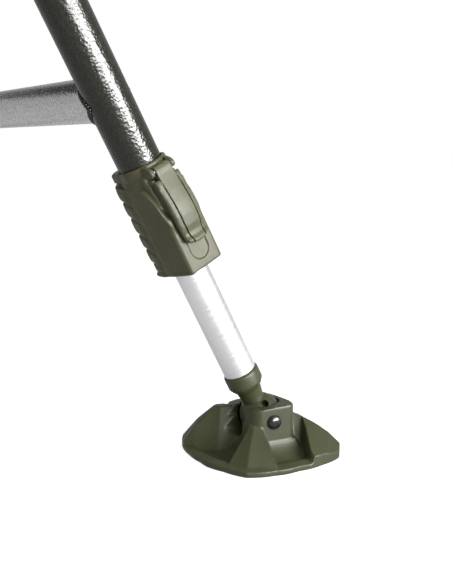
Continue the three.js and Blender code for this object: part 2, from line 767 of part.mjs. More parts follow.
function reclinePlateShape(hand) {
  const rim = slotRadius + plateRim;
  const [x, z] = [-backPivotBehind, backPivotHeight];
  const foot = railHeight - tubeRadius * plateFootShare;
  const shape = new THREE.Shape();
  shape.moveTo(x - plateHalfWidth, foot);
  shape.lineTo(x + plateHalfWidth, foot);
  shape.lineTo(x + rim, z);
  shape.absarc(x, z, rim, 0, Math.PI);
  shape.closePath();
  const half = screwRadius + slotGap;
  const [first, last] = [-slotPlay, SQUARE_TURN + backLean + reclineBack + slotPlay];
  const end = (turn) => [x + slotRadius * Math.cos(turn), z + slotRadius * Math.sin(turn)];
  const slot = new THREE.Path();
  slot.absarc(x, z, slotRadius + half, first, last, false);
  slot.absarc(...end(last), half, last, last + Math.PI, false);
  slot.absarc(x, z, slotRadius - half, last, first, true);
  slot.absarc(...end(first), half, first + Math.PI, first + FULL_TURN, false);
  shape.holes.push(slot);
  const plate = upright(shape, hand * plateNear, hand * plateFar, 8);
  const hole = rod(at(x, hand * (plateNear - overrun), z), at(x, hand * (plateFar + overrun), z),
    screwRadius + screwClearance, screwHoleSides);
  return cut(plate, [hole]);
}

addPiece(chair, 'recline_plate_left', reclinePlateShape(LEFT), paint);
addPiece(chair, 'recline_plate_right', reclinePlateShape(RIGHT), paint);

// Back frame: two uprights, a top hoop and a low bar; the group is turned to the lean at rest

const back = new THREE.Group();
back.position.set(-backPivotBehind, 0, backPivotHeight);
back.rotation.y = -backLean;
chair.add(back);

function uprightShape(hand) {
  const body = tube(backStraight + backTubeFoot, tubeRadius, tubeWall);
  body.translate(0, hand * railSpan, -backTubeFoot);
  const holes = [0, slotRadius].map((rise) => rod(at(0, hand * (railSpan - 2 * tubeRadius), rise),
    at(0, hand * (railSpan + 2 * tubeRadius), rise), screwRadius + screwClearance, screwHoleSides));
  return cut(body, holes);
}

function backBarShape() {
  const body = tube(2 * railSpan, backBarRadius, tubeWall).rotateX(SQUARE_TURN);
  const posts = [LEFT, RIGHT].map((hand) => rod(at(0, hand * railSpan, -backTubeFoot - overrun),
    at(0, hand * railSpan, backStraight), tubeRadius + clearance));
  return cut(body.translate(0, railSpan, backBarRise), posts);
}

addPiece(back, 'back_upright_left', uprightShape(LEFT), paint);
addPiece(back, 'back_upright_right', uprightShape(RIGHT), paint);
addPiece(back, 'back_top_hoop',
  hoopTube(at(0, 0, 1), at(0, 0, backStraight + clearance), at(0, 0, backHeight)), paint);
addPiece(back, 'back_low_bar', backBarShape(), paint);

// Back pivot rivets and knob screws run through the uprights and out through the plates.
// Each knob has five round lobes and a blind bore for its screw.

const screwInner = railSpan - tubeRadius - rivetPlay;
const screwSides = 12;
const knobGap = 1;
const knobThickness = 15;
const knobRadius = 18;
const knobBore = 11.25;
const knobBoreFloor = 1;
const knobLobes = 5;
const knobSteps = 30;
const knobLobeShare = 0.12;

function backScrewShape(hand, rise, reach, end) {
  const profile = [...domedHead(headRadius, headRise, 0, -1), [screwRadius, 0], [screwRadius, reach]];
  const screw = turned([...profile, ...end], screwSides).rotateX(-hand * SQUARE_TURN);
  return toGeometry(toSolid(screw.translate(0, hand * screwInner, rise)));
}

function knobShape(hand) {
  const near = plateFar + knobGap;
  const points = Array.from({ length: knobSteps }, (_, i) => {
    const turn = i / knobSteps * FULL_TURN;
    const radius = knobRadius * (1 - knobLobeShare * (1 - Math.cos(knobLobes * turn)));
    return new THREE.Vector2(radius * Math.cos(turn), slotRadius + radius * Math.sin(turn));
  });
  const body = upright(new THREE.Shape(points), hand * near, hand * (near + knobThickness), 1);
  const bore = rod(at(0, hand * (near - overrun), slotRadius),
    at(0, hand * (near + knobBore), slotRadius), screwRadius + screwClearance, screwSides);
  return cut(body, [bore]);
}

for (const [hand, name] of [[LEFT, 'left'], [RIGHT, 'right']]) {
  const rivetReach = plateFar + clearance - screwInner;
  const screwReach = plateFar + knobGap + knobBore - knobBoreFloor - screwInner;
  addPiece(back, `back_pivot_rivet_${name}`,
    backScrewShape(hand, 0, rivetReach, domedHead(headRadius, headRise, rivetReach, 1)), steel);
  addPiece(back, `knob_screw_${name}`,
    backScrewShape(hand, slotRadius, screwReach, [[0, screwReach]]), steel);
  addPiece(back, `recline_knob_${name}`, knobShape(hand), blackPlastic);
}

// Cushions: a padded cover with a crowned top, drawn-in rounded edges and sewn channels across it.
// Its middle drops between the tubes and its flaps lie on top of them.

const padChannels = 5;
const seamDepth = 7;
const seamWidth = 9;
const seamMargin = 12;
const padHem = 5;
const padRim = 6;
const padSideGap = 2.5;
const padEndGap = 4;
const flapStep = 1.5;
const padRimShare = 0.45;
const padCornerShares = [1, 0.62, 0.33, 0.13, 0.03, 0];
const padColumnShares = [0, 0.4, 0.75, 1];
const padRoundness = 6;

function cushion(length, straight, crown) {
  const half = railSpan + padSideReach;
  const corner = cornerRadius + padOverhang;
  const flapBase = tubeRadius + padGap;
  const middleHalf = railSpan - tubeRadius - padSideGap;
  const middleEnd = straight - padEndGap;
  const seams = Array.from({ length: padChannels - 1 }, (_, i) => length * (i + 1) / padChannels);
  const stations = [0, padRim, middleEnd, middleEnd + flapStep];
  for (const [i, seam] of seams.entries()) {
    const before = i ? seams[i - 1] : 0;
    stations.push((before + seam) / 2, seam - seamWidth, seam, seam + seamWidth);
  }
  for (const share of padCornerShares) stations.push(length - share * corner);
  stations.sort((a, b) => a - b);
  const columns = padColumnShares.map((share) => share * middleHalf);
  columns.push(middleHalf + flapStep, half - padHem, half);
  const across = [...columns.slice(1).map((value) => -value).reverse(), ...columns];
  // The outline is drawn in at the far end along a quarter circle
  const outline = (u) => {
    const past = Math.max(0, u - (length - corner)) / corner;
    return 1 - corner / half * (1 - Math.sqrt(Math.max(0, 1 - past * past)));
  };
  const top = (u, y) => {
    const [along, aside] = [2 * u / length - 1, y / half];
    const fade = (1 - Math.abs(along) ** padRoundness) * (1 - Math.abs(aside) ** padRoundness);
    const seam = seams.reduce((sum, place) => sum + Math.exp(-(((u - place) / seamWidth) ** 2)), 0);
    const stitched = Math.abs(y) < half - seamMargin ? seamDepth * Math.min(1, seam) : 0;
    const crowned = crown * (1 - along ** 2) * (1 - aside ** 2);
    const rim = padFlapRise * padRimShare;
    return flapBase + rim + fade * (padFlapRise - rim + crowned) - stitched;
  };
  const bottom = (u, y) => (Math.abs(y) < middleHalf + flapStep && u < middleEnd + flapStep
    ? padDrop : flapBase);
  const [rows, count] = [stations.length, across.length];
  const positions = [top, bottom].flatMap((surface) => stations.flatMap((u) => across.flatMap(
    (y) => [u, y * outline(u), surface(u, y)])));
  const index = [];
  const cell = (layer, row, column) => (layer * rows + row) * count + column;
  for (let row = 0; row < rows - 1; row++) {
    for (let column = 0; column < count - 1; column++) {
      const corners = (layer) => [cell(layer, row, column), cell(layer, row + 1, column),
        cell(layer, row + 1, column + 1), cell(layer, row, column + 1)];
      const [a, b, c, d] = corners(0);
      index.push(a, b, c, a, c, d);
      const [e, f, g, h] = corners(1);
      index.push(e, g, f, e, h, g);
    }
  }
  const rim = [];
  for (let column = 0; column < count; column++) rim.push([0, column]);
  for (let row = 1; row < rows; row++) rim.push([row, count - 1]);
  for (let column = count - 2; column >= 0; column--) rim.push([rows - 1, column]);
  for (let row = rows - 2; row > 0; row--) rim.push([row, 0]);
  rim.forEach((place, i) => {
    const next = rim[(i + 1) % rim.length];
    const [a, b, c, d] = [cell(0, ...place), cell(0, ...next), cell(1, ...next), cell(1, ...place)];
    index.push(a, b, c, a, c, d);
  });
  return toGeometry(toSolid(indexed(positions, index)));
}

const seatCrown = 9;
const backCrown = 7;
const seatPad = cushion(backPivotBehind + frontReach + padOverhang, backPivotBehind + railFront, seatCrown);
addPiece(chair, 'seat_pad', seatPad.translate(-backPivotBehind, 0, railHeight), cloth);

const backPad = cushion(backHeight + padOverhang - backPadStart, backStraight - backPadStart, backCrown);
backPad.rotateY(-SQUARE_TURN).rotateZ(Math.PI);
addPiece(back, 'back_pad', backPad.translate(0, 0, backPadStart), cloth);

// The chair stands with the middle of its footprint at the origin
chair.updateMatrixWorld(true);
const box = new THREE.Box3().setFromObject(chair, true);
const middle = box.getCenter(new THREE.Vector3());
chair.position.set(-middle.x, -middle.y, -box.min.z);
chair.updateMatrixWorld(true);

export default chair;
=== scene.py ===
# A folding chair for the bank: padded seat and reclining back on a painted tube frame, four
# telescopic legs with cam clamps, and star-shaped mud feet. One section for each piece, in the
# order in which the chair goes together from the ground up.
import bmesh
import bpy
import json
import math
import numpy as np
from mathutils import Matrix, Vector
from mathutils.bvhtree import BVHTree


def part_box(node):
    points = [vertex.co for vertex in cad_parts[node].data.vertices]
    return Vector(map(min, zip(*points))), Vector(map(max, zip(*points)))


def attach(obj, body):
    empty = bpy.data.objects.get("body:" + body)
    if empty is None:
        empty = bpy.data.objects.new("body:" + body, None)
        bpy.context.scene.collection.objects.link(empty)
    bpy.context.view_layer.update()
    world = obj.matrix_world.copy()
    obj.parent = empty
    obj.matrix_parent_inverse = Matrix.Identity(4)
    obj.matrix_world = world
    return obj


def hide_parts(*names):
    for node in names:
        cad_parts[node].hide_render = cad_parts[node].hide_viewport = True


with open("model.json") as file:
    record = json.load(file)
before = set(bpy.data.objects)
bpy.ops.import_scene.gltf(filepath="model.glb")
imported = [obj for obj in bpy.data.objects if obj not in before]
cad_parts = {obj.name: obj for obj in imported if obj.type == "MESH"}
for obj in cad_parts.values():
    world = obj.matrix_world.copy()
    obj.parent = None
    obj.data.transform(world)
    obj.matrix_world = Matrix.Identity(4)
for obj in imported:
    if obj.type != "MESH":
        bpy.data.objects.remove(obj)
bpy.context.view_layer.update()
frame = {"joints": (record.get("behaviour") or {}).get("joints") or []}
joints = {joint["name"]: joint for joint in frame["joints"]}

# ---- Camera
# It stands low before the chair's right front leg and looks down a little on that leg's foot, which
# is what the photograph shows: one leg from the cross tube down.
lens = bpy.data.cameras.new("camera")
lens.sensor_width = 36
lens.lens = 48.575
lens.clip_end = 60
camera = bpy.data.objects.new("camera", lens)
bpy.context.scene.collection.objects.link(camera)
camera_right, camera_up, camera_ahead = (Vector((0.8192, -0.5736, 0)), Vector((0.1055, 0.1507, 0.9829)),
                                         Vector((0.5638, 0.8052, -0.184)))
camera_turn = Matrix((camera_right, camera_up, -camera_ahead)).transposed()
camera.matrix_world = Matrix.Translation((0.0664, -0.689, 0.189)) @ camera_turn.to_4x4()
bpy.context.scene.camera = camera
bpy.context.scene.view_settings.view_transform = "Standard"

# ---- Studio
# A pale floor that runs out of sight, a white surround, a soft lamp at the camera's right with a wide
# low panel that only gloss shows, the bright stripe on the leg, and two weak lamps in front and behind.
def maths(nodes, links, operation, *values):
    """A math node over plain numbers and other nodes' outputs; returns its result"""
    node = nodes.new("ShaderNodeMath")
    node.operation = operation
    for socket, value in zip(node.inputs, values):
        if isinstance(value, (int, float)):
            socket.default_value = value
        else:
            links.new(value, socket)
    return node.outputs[0]


def shown_to(nodes, links, *kinds):
    """How bright a ray finds the surround: in full if it is of these kinds, in part if it is mirrored"""
    rays = nodes.new("ShaderNodeLightPath")
    level = maths(nodes, links, "MULTIPLY", rays.outputs["Is Glossy Ray"], 0.42)
    for kind in kinds:
        level = maths(nodes, links, "MAXIMUM", level, rays.outputs[kind])
    return level


world = bpy.data.worlds.new("studio")
bpy.context.scene.world = world
world.use_nodes = True
nodes, links = world.node_tree.nodes, world.node_tree.links
level = nodes.new("ShaderNodeMapRange")
level.inputs["To Min"].default_value = 0.20
level.inputs["To Max"].default_value = 1.0
links.new(shown_to(nodes, links, "Is Camera Ray", "Is Transmission Ray"), level.inputs["Value"])
links.new(level.outputs[0], nodes["Background"].inputs["Strength"])
nodes["Background"].inputs["Color"].default_value = (1, 1, 1, 1)

floor_white = bpy.data.materials.new("floor_white")
floor_white.use_nodes = True
nodes, links = floor_white.node_tree.nodes, floor_white.node_tree.links
shader = nodes["Principled BSDF"]
shader.inputs["Base Color"].default_value = (0.42, 0.42, 0.42, 1)
shader.inputs["Roughness"].default_value = 0.9
shader.inputs["Specular IOR Level"].default_value = 0.1
shader.inputs["Emission Strength"].default_value = 1
glow = nodes.new("ShaderNodeMix")
glow.data_type = "RGBA"
glow.inputs["A"].default_value = (0, 0, 0, 1)
glow.inputs["B"].default_value = (0.9, 0.9, 0.9, 1)
links.new(shown_to(nodes, links, "Is Camera Ray"), glow.inputs["Factor"])
links.new(glow.outputs["Result"], shader.inputs["Emission Color"])

floor_reach = 14
floor_mesh = bpy.data.meshes.new("floor")
corners = [(x * floor_reach, y * floor_reach, 0) for x, y in ((-1, -1), (1, -1), (1, 1), (-1, 1))]
floor_mesh.from_pydata(corners, [], [(0, 1, 2, 3)])
floor_mesh.materials.append(floor_white)
floor = bpy.data.objects.new("floor", floor_mesh)
bpy.context.scene.collection.objects.link(floor)


def soft_lamp(name, place, aim, size, power, height=None):
    """A soft lamp at a place, turned to a point: a square, or as wide as size and as tall as height"""
    light = bpy.data.lights.new(name, "AREA")
    light.shape = "RECTANGLE"
    light.size = size
    light.size_y = height or size
    light.energy = power
    lamp = bpy.data.objects.new(name, light)
    lamp.location = place
    lamp.rotation_euler = (Vector(aim) - Vector(place)).to_track_quat("-Z", "Y").to_euler()
    bpy.context.scene.collection.objects.link(lamp)
    return lamp


soft_lamp("key_lamp", (1.28, -2.73, 0.86), (0.3, -0.3, 0.17), 1.5, 86)
gloss_panel = soft_lamp("gloss_panel", (0.92, -2.86, 0.54), (0.34, -0.3, 0.3), 2.8, 200, 0.95)
gloss_panel.visible_diffuse = False
soft_lamp("front_lamp", (0.5, -2.6, 2.3), (0.1, -0.1, 0.3), 2.0, 26)
soft_lamp("side_lamp", (-2.4, 1.3, 1.9), (0, 0, 0.4), 2.0, 30)

# ---- Bright inner tubes
# Drawn aluminium tube, 20 mm, satin, which slides in the painted leg; the drawing leaves fine lines
# round it, and the cut end is broken with a file.
legs = ("front_left", "front_right", "rear_left", "rear_right")


x_way, y_way, z_way = Vector((1, 0, 0)), Vector((0, 1, 0)), Vector((0, 0, 1))


def frame_of(x, y, z, origin):
    """Places millimetres along three axes from an origin, in the chair's metres"""
    columns = [axis * 0.001 for axis in (x, y, z)]
    return Matrix([[*(axis[row] for axis in columns), origin[row]] for row in range(3)]
                  + [[0, 0, 0, 1]])


def leg_frame(leg):
    """Z runs up the leg from the foot's pin, and Y is the axis that the foot turns on"""
    up = -Vector(joints[leg + "_leg_slide"]["axis"])
    side = Vector(joints[leg + "_foot_tilt"]["axis"])
    return frame_of(side.cross(up), side, up, Vector(joints[leg + "_foot_tilt"]["pos_m"]))


def link(mesh, name):
    """An object of its own for a mesh"""
    piece = bpy.data.objects.new(name, mesh)
    bpy.context.scene.collection.objects.link(piece)
    return piece


def tidy(mesh, angle=38, mend=True):
    """Faces out, doubles merged, smooth except across sharp edges"""
    work = bmesh.new()
    work.from_mesh(mesh)
    if mend:
        bmesh.ops.remove_doubles(work, verts=work.verts, dist=1e-4)
        bmesh.ops.recalc_face_normals(work, faces=work.faces)
    work.to_mesh(mesh)
    work.free()
    mesh.shade_smooth()
    mesh.set_sharp_from_angle(angle=math.radians(angle))
    return mesh


def eased(points, radius, steps=3, loop=False):
    """A flat outline with its corners rounded"""
    result = []
    for i, point in enumerate(points):
        corner = Vector(point)
        if not loop and i in (0, len(points) - 1):
            result.append(tuple(corner))
            continue
        before = Vector(points[i - 1]) - corner
        after = Vector(points[(i + 1) % len(points)]) - corner
        reach = min(radius, before.length * 0.45, after.length * 0.45)
        start, end = corner + before.normalized() * reach, corner + after.normalized() * reach
        for k in range(steps + 1):
            t = k / steps
            result.append(tuple(start * (1 - t) ** 2 + corner * 2 * t * (1 - t) + end * t * t))
    return result


def lace(work, rings, loop):
    """Faces between each ring of points and the next; a ring of one point is a pole"""
    for near, far in zip(rings, rings[1:] + (rings[:1] if loop else [])):
        for i in range(max(len(ring) for ring in rings)):
            corners = [near[i % len(near)], near[(i + 1) % len(near)],
                       far[(i + 1) % len(far)], far[i % len(far)]]
            corners = list(dict.fromkeys(corners))
            if len(corners) > 2:
                work.faces.new(corners)


def turned(profile, sides=56, loop=False):
    """A piece turned about Z from radius and height pairs; a loop is a ring or a tube"""
    work = bmesh.new()
    rings = []
    for radius, height in profile:
        count = 1 if radius < 1e-6 else sides
        rings.append([work.verts.new((radius * math.cos(2 * math.pi * i / sides),
                                      radius * math.sin(2 * math.pi * i / sides), height))
                      for i in range(count)])
    lace(work, rings, loop)
    mesh = bpy.data.meshes.new("turned")
    work.to_mesh(mesh)
    work.free()
    return tidy(mesh)


def note_height(mesh):
    """Keeps each point's height along the leg, in metres, for marks that run round a tube"""
    heights = np.zeros(len(mesh.vertices) * 3)
    mesh.vertices.foreach_get("co", heights)
    mesh.attributes.new("along", "FLOAT", "POINT").data.foreach_set("value", heights[2::3] * 0.001)
    return mesh


def fit(mesh, name, place, material, body, slot, *nodes):
    """Sets a piece made in millimetres in its place on the chair, in the stead of its CAD nodes"""
    own = mesh.copy()
    own.transform(place)
    own.materials.clear()
    own.materials.append(material)
    piece = link(own, name)
    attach(piece, body)
    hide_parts(*nodes)
    return piece


def fit_node(mesh, node, made, place, material, body, slot):
    """Sets a piece that stands for one node and is named after it"""
    return fit(mesh, f"{node}_{made}", place, material, body, slot, node)


def finish_of(name, colour, roughness, metallic=0.0, specular=0.5):
    """A material with its shader's plain values set; returns it with its shader, nodes and links"""
    material = bpy.data.materials.new(name)
    material.use_nodes = True
    shader = material.node_tree.nodes["Principled BSDF"]
    shader.inputs["Base Color"].default_value = (*colour, 1)
    shader.inputs["Roughness"].default_value = roughness
    shader.inputs["Metallic"].default_value = metallic
    shader.inputs["Specular IOR Level"].default_value = specular
    return material, shader, material.node_tree.nodes, material.node_tree.links


def patchy_group():
    """Slow change of tone and fine grain over a surface, which most finishes share"""
    group = bpy.data.node_groups.new("patchy_grain", "ShaderNodeTree")
    for name, value in (("Patch Scale", 25.0), ("Grain Scale", 1500.0)):
        socket = group.interface.new_socket(name, in_out="INPUT", socket_type="NodeSocketFloat")
        socket.default_value = value
    for name in ("Patch", "Grain"):
        group.interface.new_socket(name, in_out="OUTPUT", socket_type="NodeSocketFloat")
    nodes, links = group.nodes, group.links
    ins, outs = nodes.new("NodeGroupInput"), nodes.new("NodeGroupOutput")
    place = nodes.new("ShaderNodeTexCoord")
    for name, detail in (("Patch", 3), ("Grain", 2)):
        noise = nodes.new("ShaderNodeTexNoise")
        noise.inputs["Detail"].default_value = detail
        links.new(place.outputs["Object"], noise.inputs["Vector"])
        links.new(ins.outputs[name + " Scale"], noise.inputs["Scale"])
        links.new(noise.outputs["Fac"], outs.inputs[name])
    return group


patchy = patchy_group()


def tone(nodes, links, source, low, high, target, start=0.35, end=0.65):
    """Carries a mask to a shader's colour or value between two ends"""
    ramp = nodes.new("ShaderNodeMapRange")
    ramp.inputs["From Min"].default_value = start
    ramp.inputs["From Max"].default_value = end
    links.new(source, ramp.inputs["Value"])
    if isinstance(low, tuple):
        mix = nodes.new("ShaderNodeMix")
        mix.data_type = "RGBA"
        mix.inputs["A"].default_value = (*low, 1)
        mix.inputs["B"].default_value = (*high, 1)
        links.new(ramp.outputs[0], mix.inputs["Factor"])
        links.new(mix.outputs["Result"], target)
        return
    ramp.inputs["To Min"].default_value = low
    ramp.inputs["To Max"].default_value = high
    links.new(ramp.outputs[0], target)


def relief(nodes, links, source, shader, strength, depth):
    """Bumps a surface by a height; depth is in metres"""
    bump = nodes.new("ShaderNodeBump")
    bump.inputs["Strength"].default_value = strength
    bump.inputs["Distance"].default_value = depth
    links.new(source, bump.inputs["Height"])
    links.new(bump.outputs["Normal"], shader.inputs["Normal"])


def grain_in(nodes, patch_scale=25, grain_scale=1500):
    """Places the shared patches and grain in a material at its own scales, and returns both masks"""
    grain = nodes.new("ShaderNodeGroup")
    grain.node_tree = patchy
    grain.inputs["Patch Scale"].default_value = patch_scale
    grain.inputs["Grain Scale"].default_value = grain_scale
    return grain.outputs["Patch"], grain.outputs["Grain"]


bright_tube, shader, nodes, links = finish_of("bright_tube", (0.80, 0.80, 0.81), 0.3, 1.0)
along = nodes.new("ShaderNodeAttribute")
along.attribute_name = "along"
rings = nodes.new("ShaderNodeTexNoise")
rings.noise_dimensions = "1D"
rings.inputs["Scale"].default_value = 900
rings.inputs["Detail"].default_value = 4
links.new(along.outputs["Fac"], rings.inputs["W"])
tone(nodes, links, rings.outputs["Fac"], 0.3, 0.46, shader.inputs["Roughness"])
patches, _ = grain_in(nodes, 18)
tone(nodes, links, patches, (0.74, 0.74, 0.755), (0.86, 0.86, 0.87), shader.inputs["Base Color"])
relief(nodes, links, rings.outputs["Fac"], shader, 0.25, 0.0001)

inner_radius, inner_wall, inner_foot, inner_top = 10, 1.2, 32.3, 278
inner_profile = eased([(inner_radius, inner_foot), (inner_radius, inner_top),
                       (inner_radius - inner_wall, inner_top), (inner_radius - inner_wall, inner_foot)],
                      0.4, loop=True)
inner_tube = note_height(turned(inner_profile, 72, loop=True))


def fit_to_legs(mesh, node, made, place_on, material, slot, body):
    """Sets one piece on each leg, on that leg's own moving body or on its pair's leg frame"""
    for leg in legs:
        carrier = leg.split("_")[0] + "_leg_frame" if body == "leg_frame" else f"{leg}_{body}"
        fit_node(mesh, f"{leg}_{node}", made, place_on(leg), material, carrier, slot)


fit_to_legs(inner_tube, "inner_tube", "drawn", leg_frame, bright_tube, "bright_tube", "extension")

# ---- Foot stems
# One olive moulding: a plug up the inner tube, a ferrule that its end stands on, a short neck and
# the ball that the foot's pin crosses, flat on both sides and with a small hole before the neck.
olive_lit, olive_shade = (0.074, 0.081, 0.036), (0.054, 0.059, 0.025)


def grained_finish(name, shade, lit, roughness, scales, bump, metallic=0.0, specular=0.5):
    """A finish that drifts from shade to lit in patches, with its gloss and relief in a fine grain"""
    material, shader, nodes, links = finish_of(name, lit, sum(roughness) / 2, metallic, specular)
    patches, grain = grain_in(nodes, *scales)
    tone(nodes, links, patches, shade, lit, shader.inputs["Base Color"])
    tone(nodes, links, grain, *roughness, shader.inputs["Roughness"])
    relief(nodes, links, grain, shader, *bump)
    return material


olive_plastic = grained_finish("olive_plastic", olive_shade, olive_lit, (0.34, 0.5), (30, 1900),
                               (0.22, 0.00025), specular=0.32)


def settled(piece):
    """The plain mesh of an object with its modifiers applied; the object goes"""
    bpy.context.view_layer.update()
    result = bpy.data.meshes.new_from_object(piece.evaluated_get(bpy.context.evaluated_depsgraph_get()))
    bpy.data.objects.remove(piece)
    return result


def carved(mesh, joins=(), cuts=()):
    """A body with others joined to it and cut from it, all in the same millimetres"""
    body = link(mesh.copy(), "body")
    tools = []
    for way, others in (("UNION", joins), ("DIFFERENCE", cuts)):
        for other in others:
            tool = link(other, "tool")
            tools.append(tool)
            modifier = body.modifiers.new(way, "BOOLEAN")
            modifier.operation = way
            modifier.solver = "EXACT"
            modifier.object = tool
    result = settled(body)
    for tool in tools:
        bpy.data.objects.remove(tool)
    return result


def bar(start, end, radius, sides=32):
    """A round bar between two points, as a tool for cuts and joins"""
    start, end = Vector(start), Vector(end)
    reach = end - start
    mesh = turned([(0, 0), (radius, 0), (radius, reach.length), (0, reach.length)], sides)
    turn = reach.to_track_quat("Z", "Y").to_matrix().to_4x4()
    mesh.transform(Matrix.Translation(start) @ turn)
    return mesh


def brick(low, high):
    """A square block between two corners, as a tool for cuts and joins"""
    work = bmesh.new()
    bmesh.ops.create_cube(work, size=1)
    size, middle = Vector(high) - Vector(low), (Vector(high) + Vector(low)) / 2
    work.transform(Matrix.Translation(middle) @ Matrix.Diagonal((*size, 1)))
    mesh = bpy.data.meshes.new("brick")
    work.to_mesh(mesh)
    work.free()
    return mesh


def arc_points(radius, start, end, count, middle=(0, 0)):
    """Points at even steps along an arc between two turns in radians"""
    return [(middle[0] + radius * math.cos(t), middle[1] + radius * math.sin(t))
            for t in np.linspace(start, end, count)]


ball_radius, ball_flat, pin_radius, neck_radius = 12.8, 11.8, 3, 6.9
ferrule_foot, ferrule_top, ferrule_radius = 21, 32, 11
profile = [(0, -ball_radius)]
profile += arc_points(ball_radius, -math.pi / 2, math.pi / 2 - math.asin(neck_radius / ball_radius), 19)[1:]
profile += eased([profile.pop(), (7.0, 13.2), (8.1, ferrule_foot - 1.4), (9.4, ferrule_foot - 0.2),
                  (10.2, ferrule_foot + 1.2), (ferrule_radius, ferrule_foot + 2.4),
                  (ferrule_radius, ferrule_top - 1.2), (10.3, ferrule_top), (8.5, ferrule_top),
                  (8.5, 50), (7.0, 52), (0, 52)], 0.8)
stem = turned(profile, 64)
for point in stem.vertices:
    if point.co.z < 13:
        point.co.y = max(-ball_flat, min(ball_flat, point.co.y))
drain = Vector((2.8, -9.5, 8.7)).normalized()
stem = carved(stem, cuts=[bar((0, -20, 0), (0, 20, 0), pin_radius + 0.3, 40),
                          bar(drain * 8, drain * 20, 2.5, 24)])
tidy(stem, 30)
fit_to_legs(stem, "foot_stem", "moulded", leg_frame, olive_plastic, "olive_plastic", "extension")

# ---- Mud feet
# An olive moulding, 100 mm long: four tent-shaped lobes, two of them longer, run out from a hub that
# holds the ball, and a scoop lies between each two so that mud lets go of it.
pin_height = 25


def foot_frame(leg):
    """Stands upright on the foot's pin; Y is the axis that the foot turns on"""
    side = Vector(joints[leg + "_foot_tilt"]["axis"])
    return frame_of(side.cross(z_way), side, z_way, Vector(joints[leg + "_foot_tilt"]["pos_m"]))


def softly_highest(heights, softness):
    """The highest of several surfaces, with their meeting lines rounded"""
    stack = np.array(heights) / softness
    top = stack.max(0)
    return (top + np.log(np.exp(stack - top).sum(0))) * softness


def smooth(share):
    """A share between 0 and 1 that starts and ends level"""
    return share * share * (3 - 2 * share)


foot_rim = [(-165, 42.8), (-148, 41.6), (-126, 44.2), (-104, 41.0), (-80, 40.2), (-57, 44.4),
            (-40, 50.0), (-29, 49.3), (-12, 45.2), (5, 42.6)]
foot_rim = sorted([((turn + 180 * half + 360) % 360, radius)
                   for turn, radius in foot_rim for half in (0, 1)])
rim_turns = [foot_rim[-1][0] - 360] + [turn for turn, _ in foot_rim] + [foot_rim[0][0] + 360]
rim_radii = [foot_rim[-1][1]] + [radius for _, radius in foot_rim] + [foot_rim[0][1]]
# Each lobe: its crest's height by reach, the half widths of its flat top on either side of the crest,
# and how steeply the top leans away and the sides fall
right_lobe = dict(reach=[0, 18, 22, 26, 29, 31, 33, 36, 42.5, 50, 51],
                  height=[31, 29, 26.4, 24.4, 22.9, 22, 21, 19.3, 15, 8, 6.5],
                  near=[0, 0, 0, 0, 7, 14, 20, 23, 24.5, 26, 26],
                  far=[0, 0, 0, 3.6, 6.6, 9, 11.2, 14.5, 21, 25, 26], near_side=-1, lean=0.5, side=2.8)
left_lobe = dict(reach=[0, 18, 24.5, 30, 35, 40, 45, 48.5, 51],
                 height=[30.5, 31.8, 33, 27.6, 23.2, 18.8, 12.8, 8.4, 5.5],
                 near=[0, 0.8, 2, 3.6, 5.2, 7, 8.4, 9.6, 11], far=[0, 0, 2, 4, 9, 14, 18, 20, 22],
                 near_side=1, lean=0.45, side=2.4)
short_lobe = dict(reach=[0, 14, 18, 22, 26, 30, 35, 42, 50],
                  height=[34, 31, 25.5, 21.5, 18.4, 15.2, 10.4, 3.2, 0],
                  near=[0, 1, 3, 4, 5.5, 7.5, 10.5, 15, 22], far=[0, 1, 3, 6.5, 10, 12.5, 16, 21, 25],
                  near_side=-1, lean=0.3, side=2.3)
lobes = [(-34, right_lobe), (146, left_lobe), (-127, short_lobe), (53, short_lobe)]
scoop_floor, sill_rise, sole_edge = 3.4, 1.7, 0.9

turn_count, ring_count = 400, 80
turns = np.linspace(0, 360, turn_count, endpoint=False)
rim = np.interp(turns, rim_turns, rim_radii)
shares = np.linspace(0.1, 1, ring_count)
radii = shares[:, None] * rim[None, :]
x = radii * np.cos(np.radians(turns))
y = radii * np.sin(np.radians(turns))
sill = np.clip((radii - rim + 7.4) / 1.8, 0, 1)
off_hub = np.hypot(np.maximum(0, np.abs(x) - 15), np.maximum(0, np.abs(y) - 19))
skirt = np.interp(off_hub, [0, 1.2, 2.6, 4.4, 6.6, 9.5, 13], [9.6, 7.2, 5.3, 3.5, 2.0, 0.8, 0])
surfaces = [scoop_floor + skirt + sill_rise * smooth(sill) - 0.28 * np.maximum(0, radii - rim + 5.4)]
for turn, lobe in lobes:
    u = x * math.cos(math.radians(turn)) + y * math.sin(math.radians(turn))
    aside = -x * math.sin(math.radians(turn)) + y * math.cos(math.radians(turn))
    v = np.abs(aside)
    crest, near, far = (np.interp(np.maximum(u, 0), lobe["reach"], lobe[key])
                        for key in ("height", "near", "far"))
    half = np.where(aside * lobe["near_side"] > 0, near, far)
    height = crest - lobe["lean"] * np.minimum(v, half) - lobe["side"] * np.maximum(0, v - half)
    height += 0.55 * np.exp(-((v - half - 0.3) / 0.6) ** 2) * np.clip((u - 22) / 4, 0, 1)
    surfaces.append(np.where(u > 0, height, -20))
top = softly_highest(surfaces, 0.25)
top = np.minimum(top, 33) - pin_height
rows = [np.stack([x[0] * 0, y[0] * 0, top[0] * 0 + top[0].mean()], 1)[:1]]
rows += [np.stack([x[i], y[i], top[i]], 1) for i in range(ring_count)]
edge = np.stack([np.cos(np.radians(turns)), np.sin(np.radians(turns))], 1)
rows.append(np.column_stack([edge * rim[:, None], np.full(turn_count, sole_edge - pin_height)]))
rows.append(np.column_stack([edge * (rim[:, None] - sole_edge), np.full(turn_count, -pin_height)]))
rows.append(np.array([[0, 0, -pin_height]]))


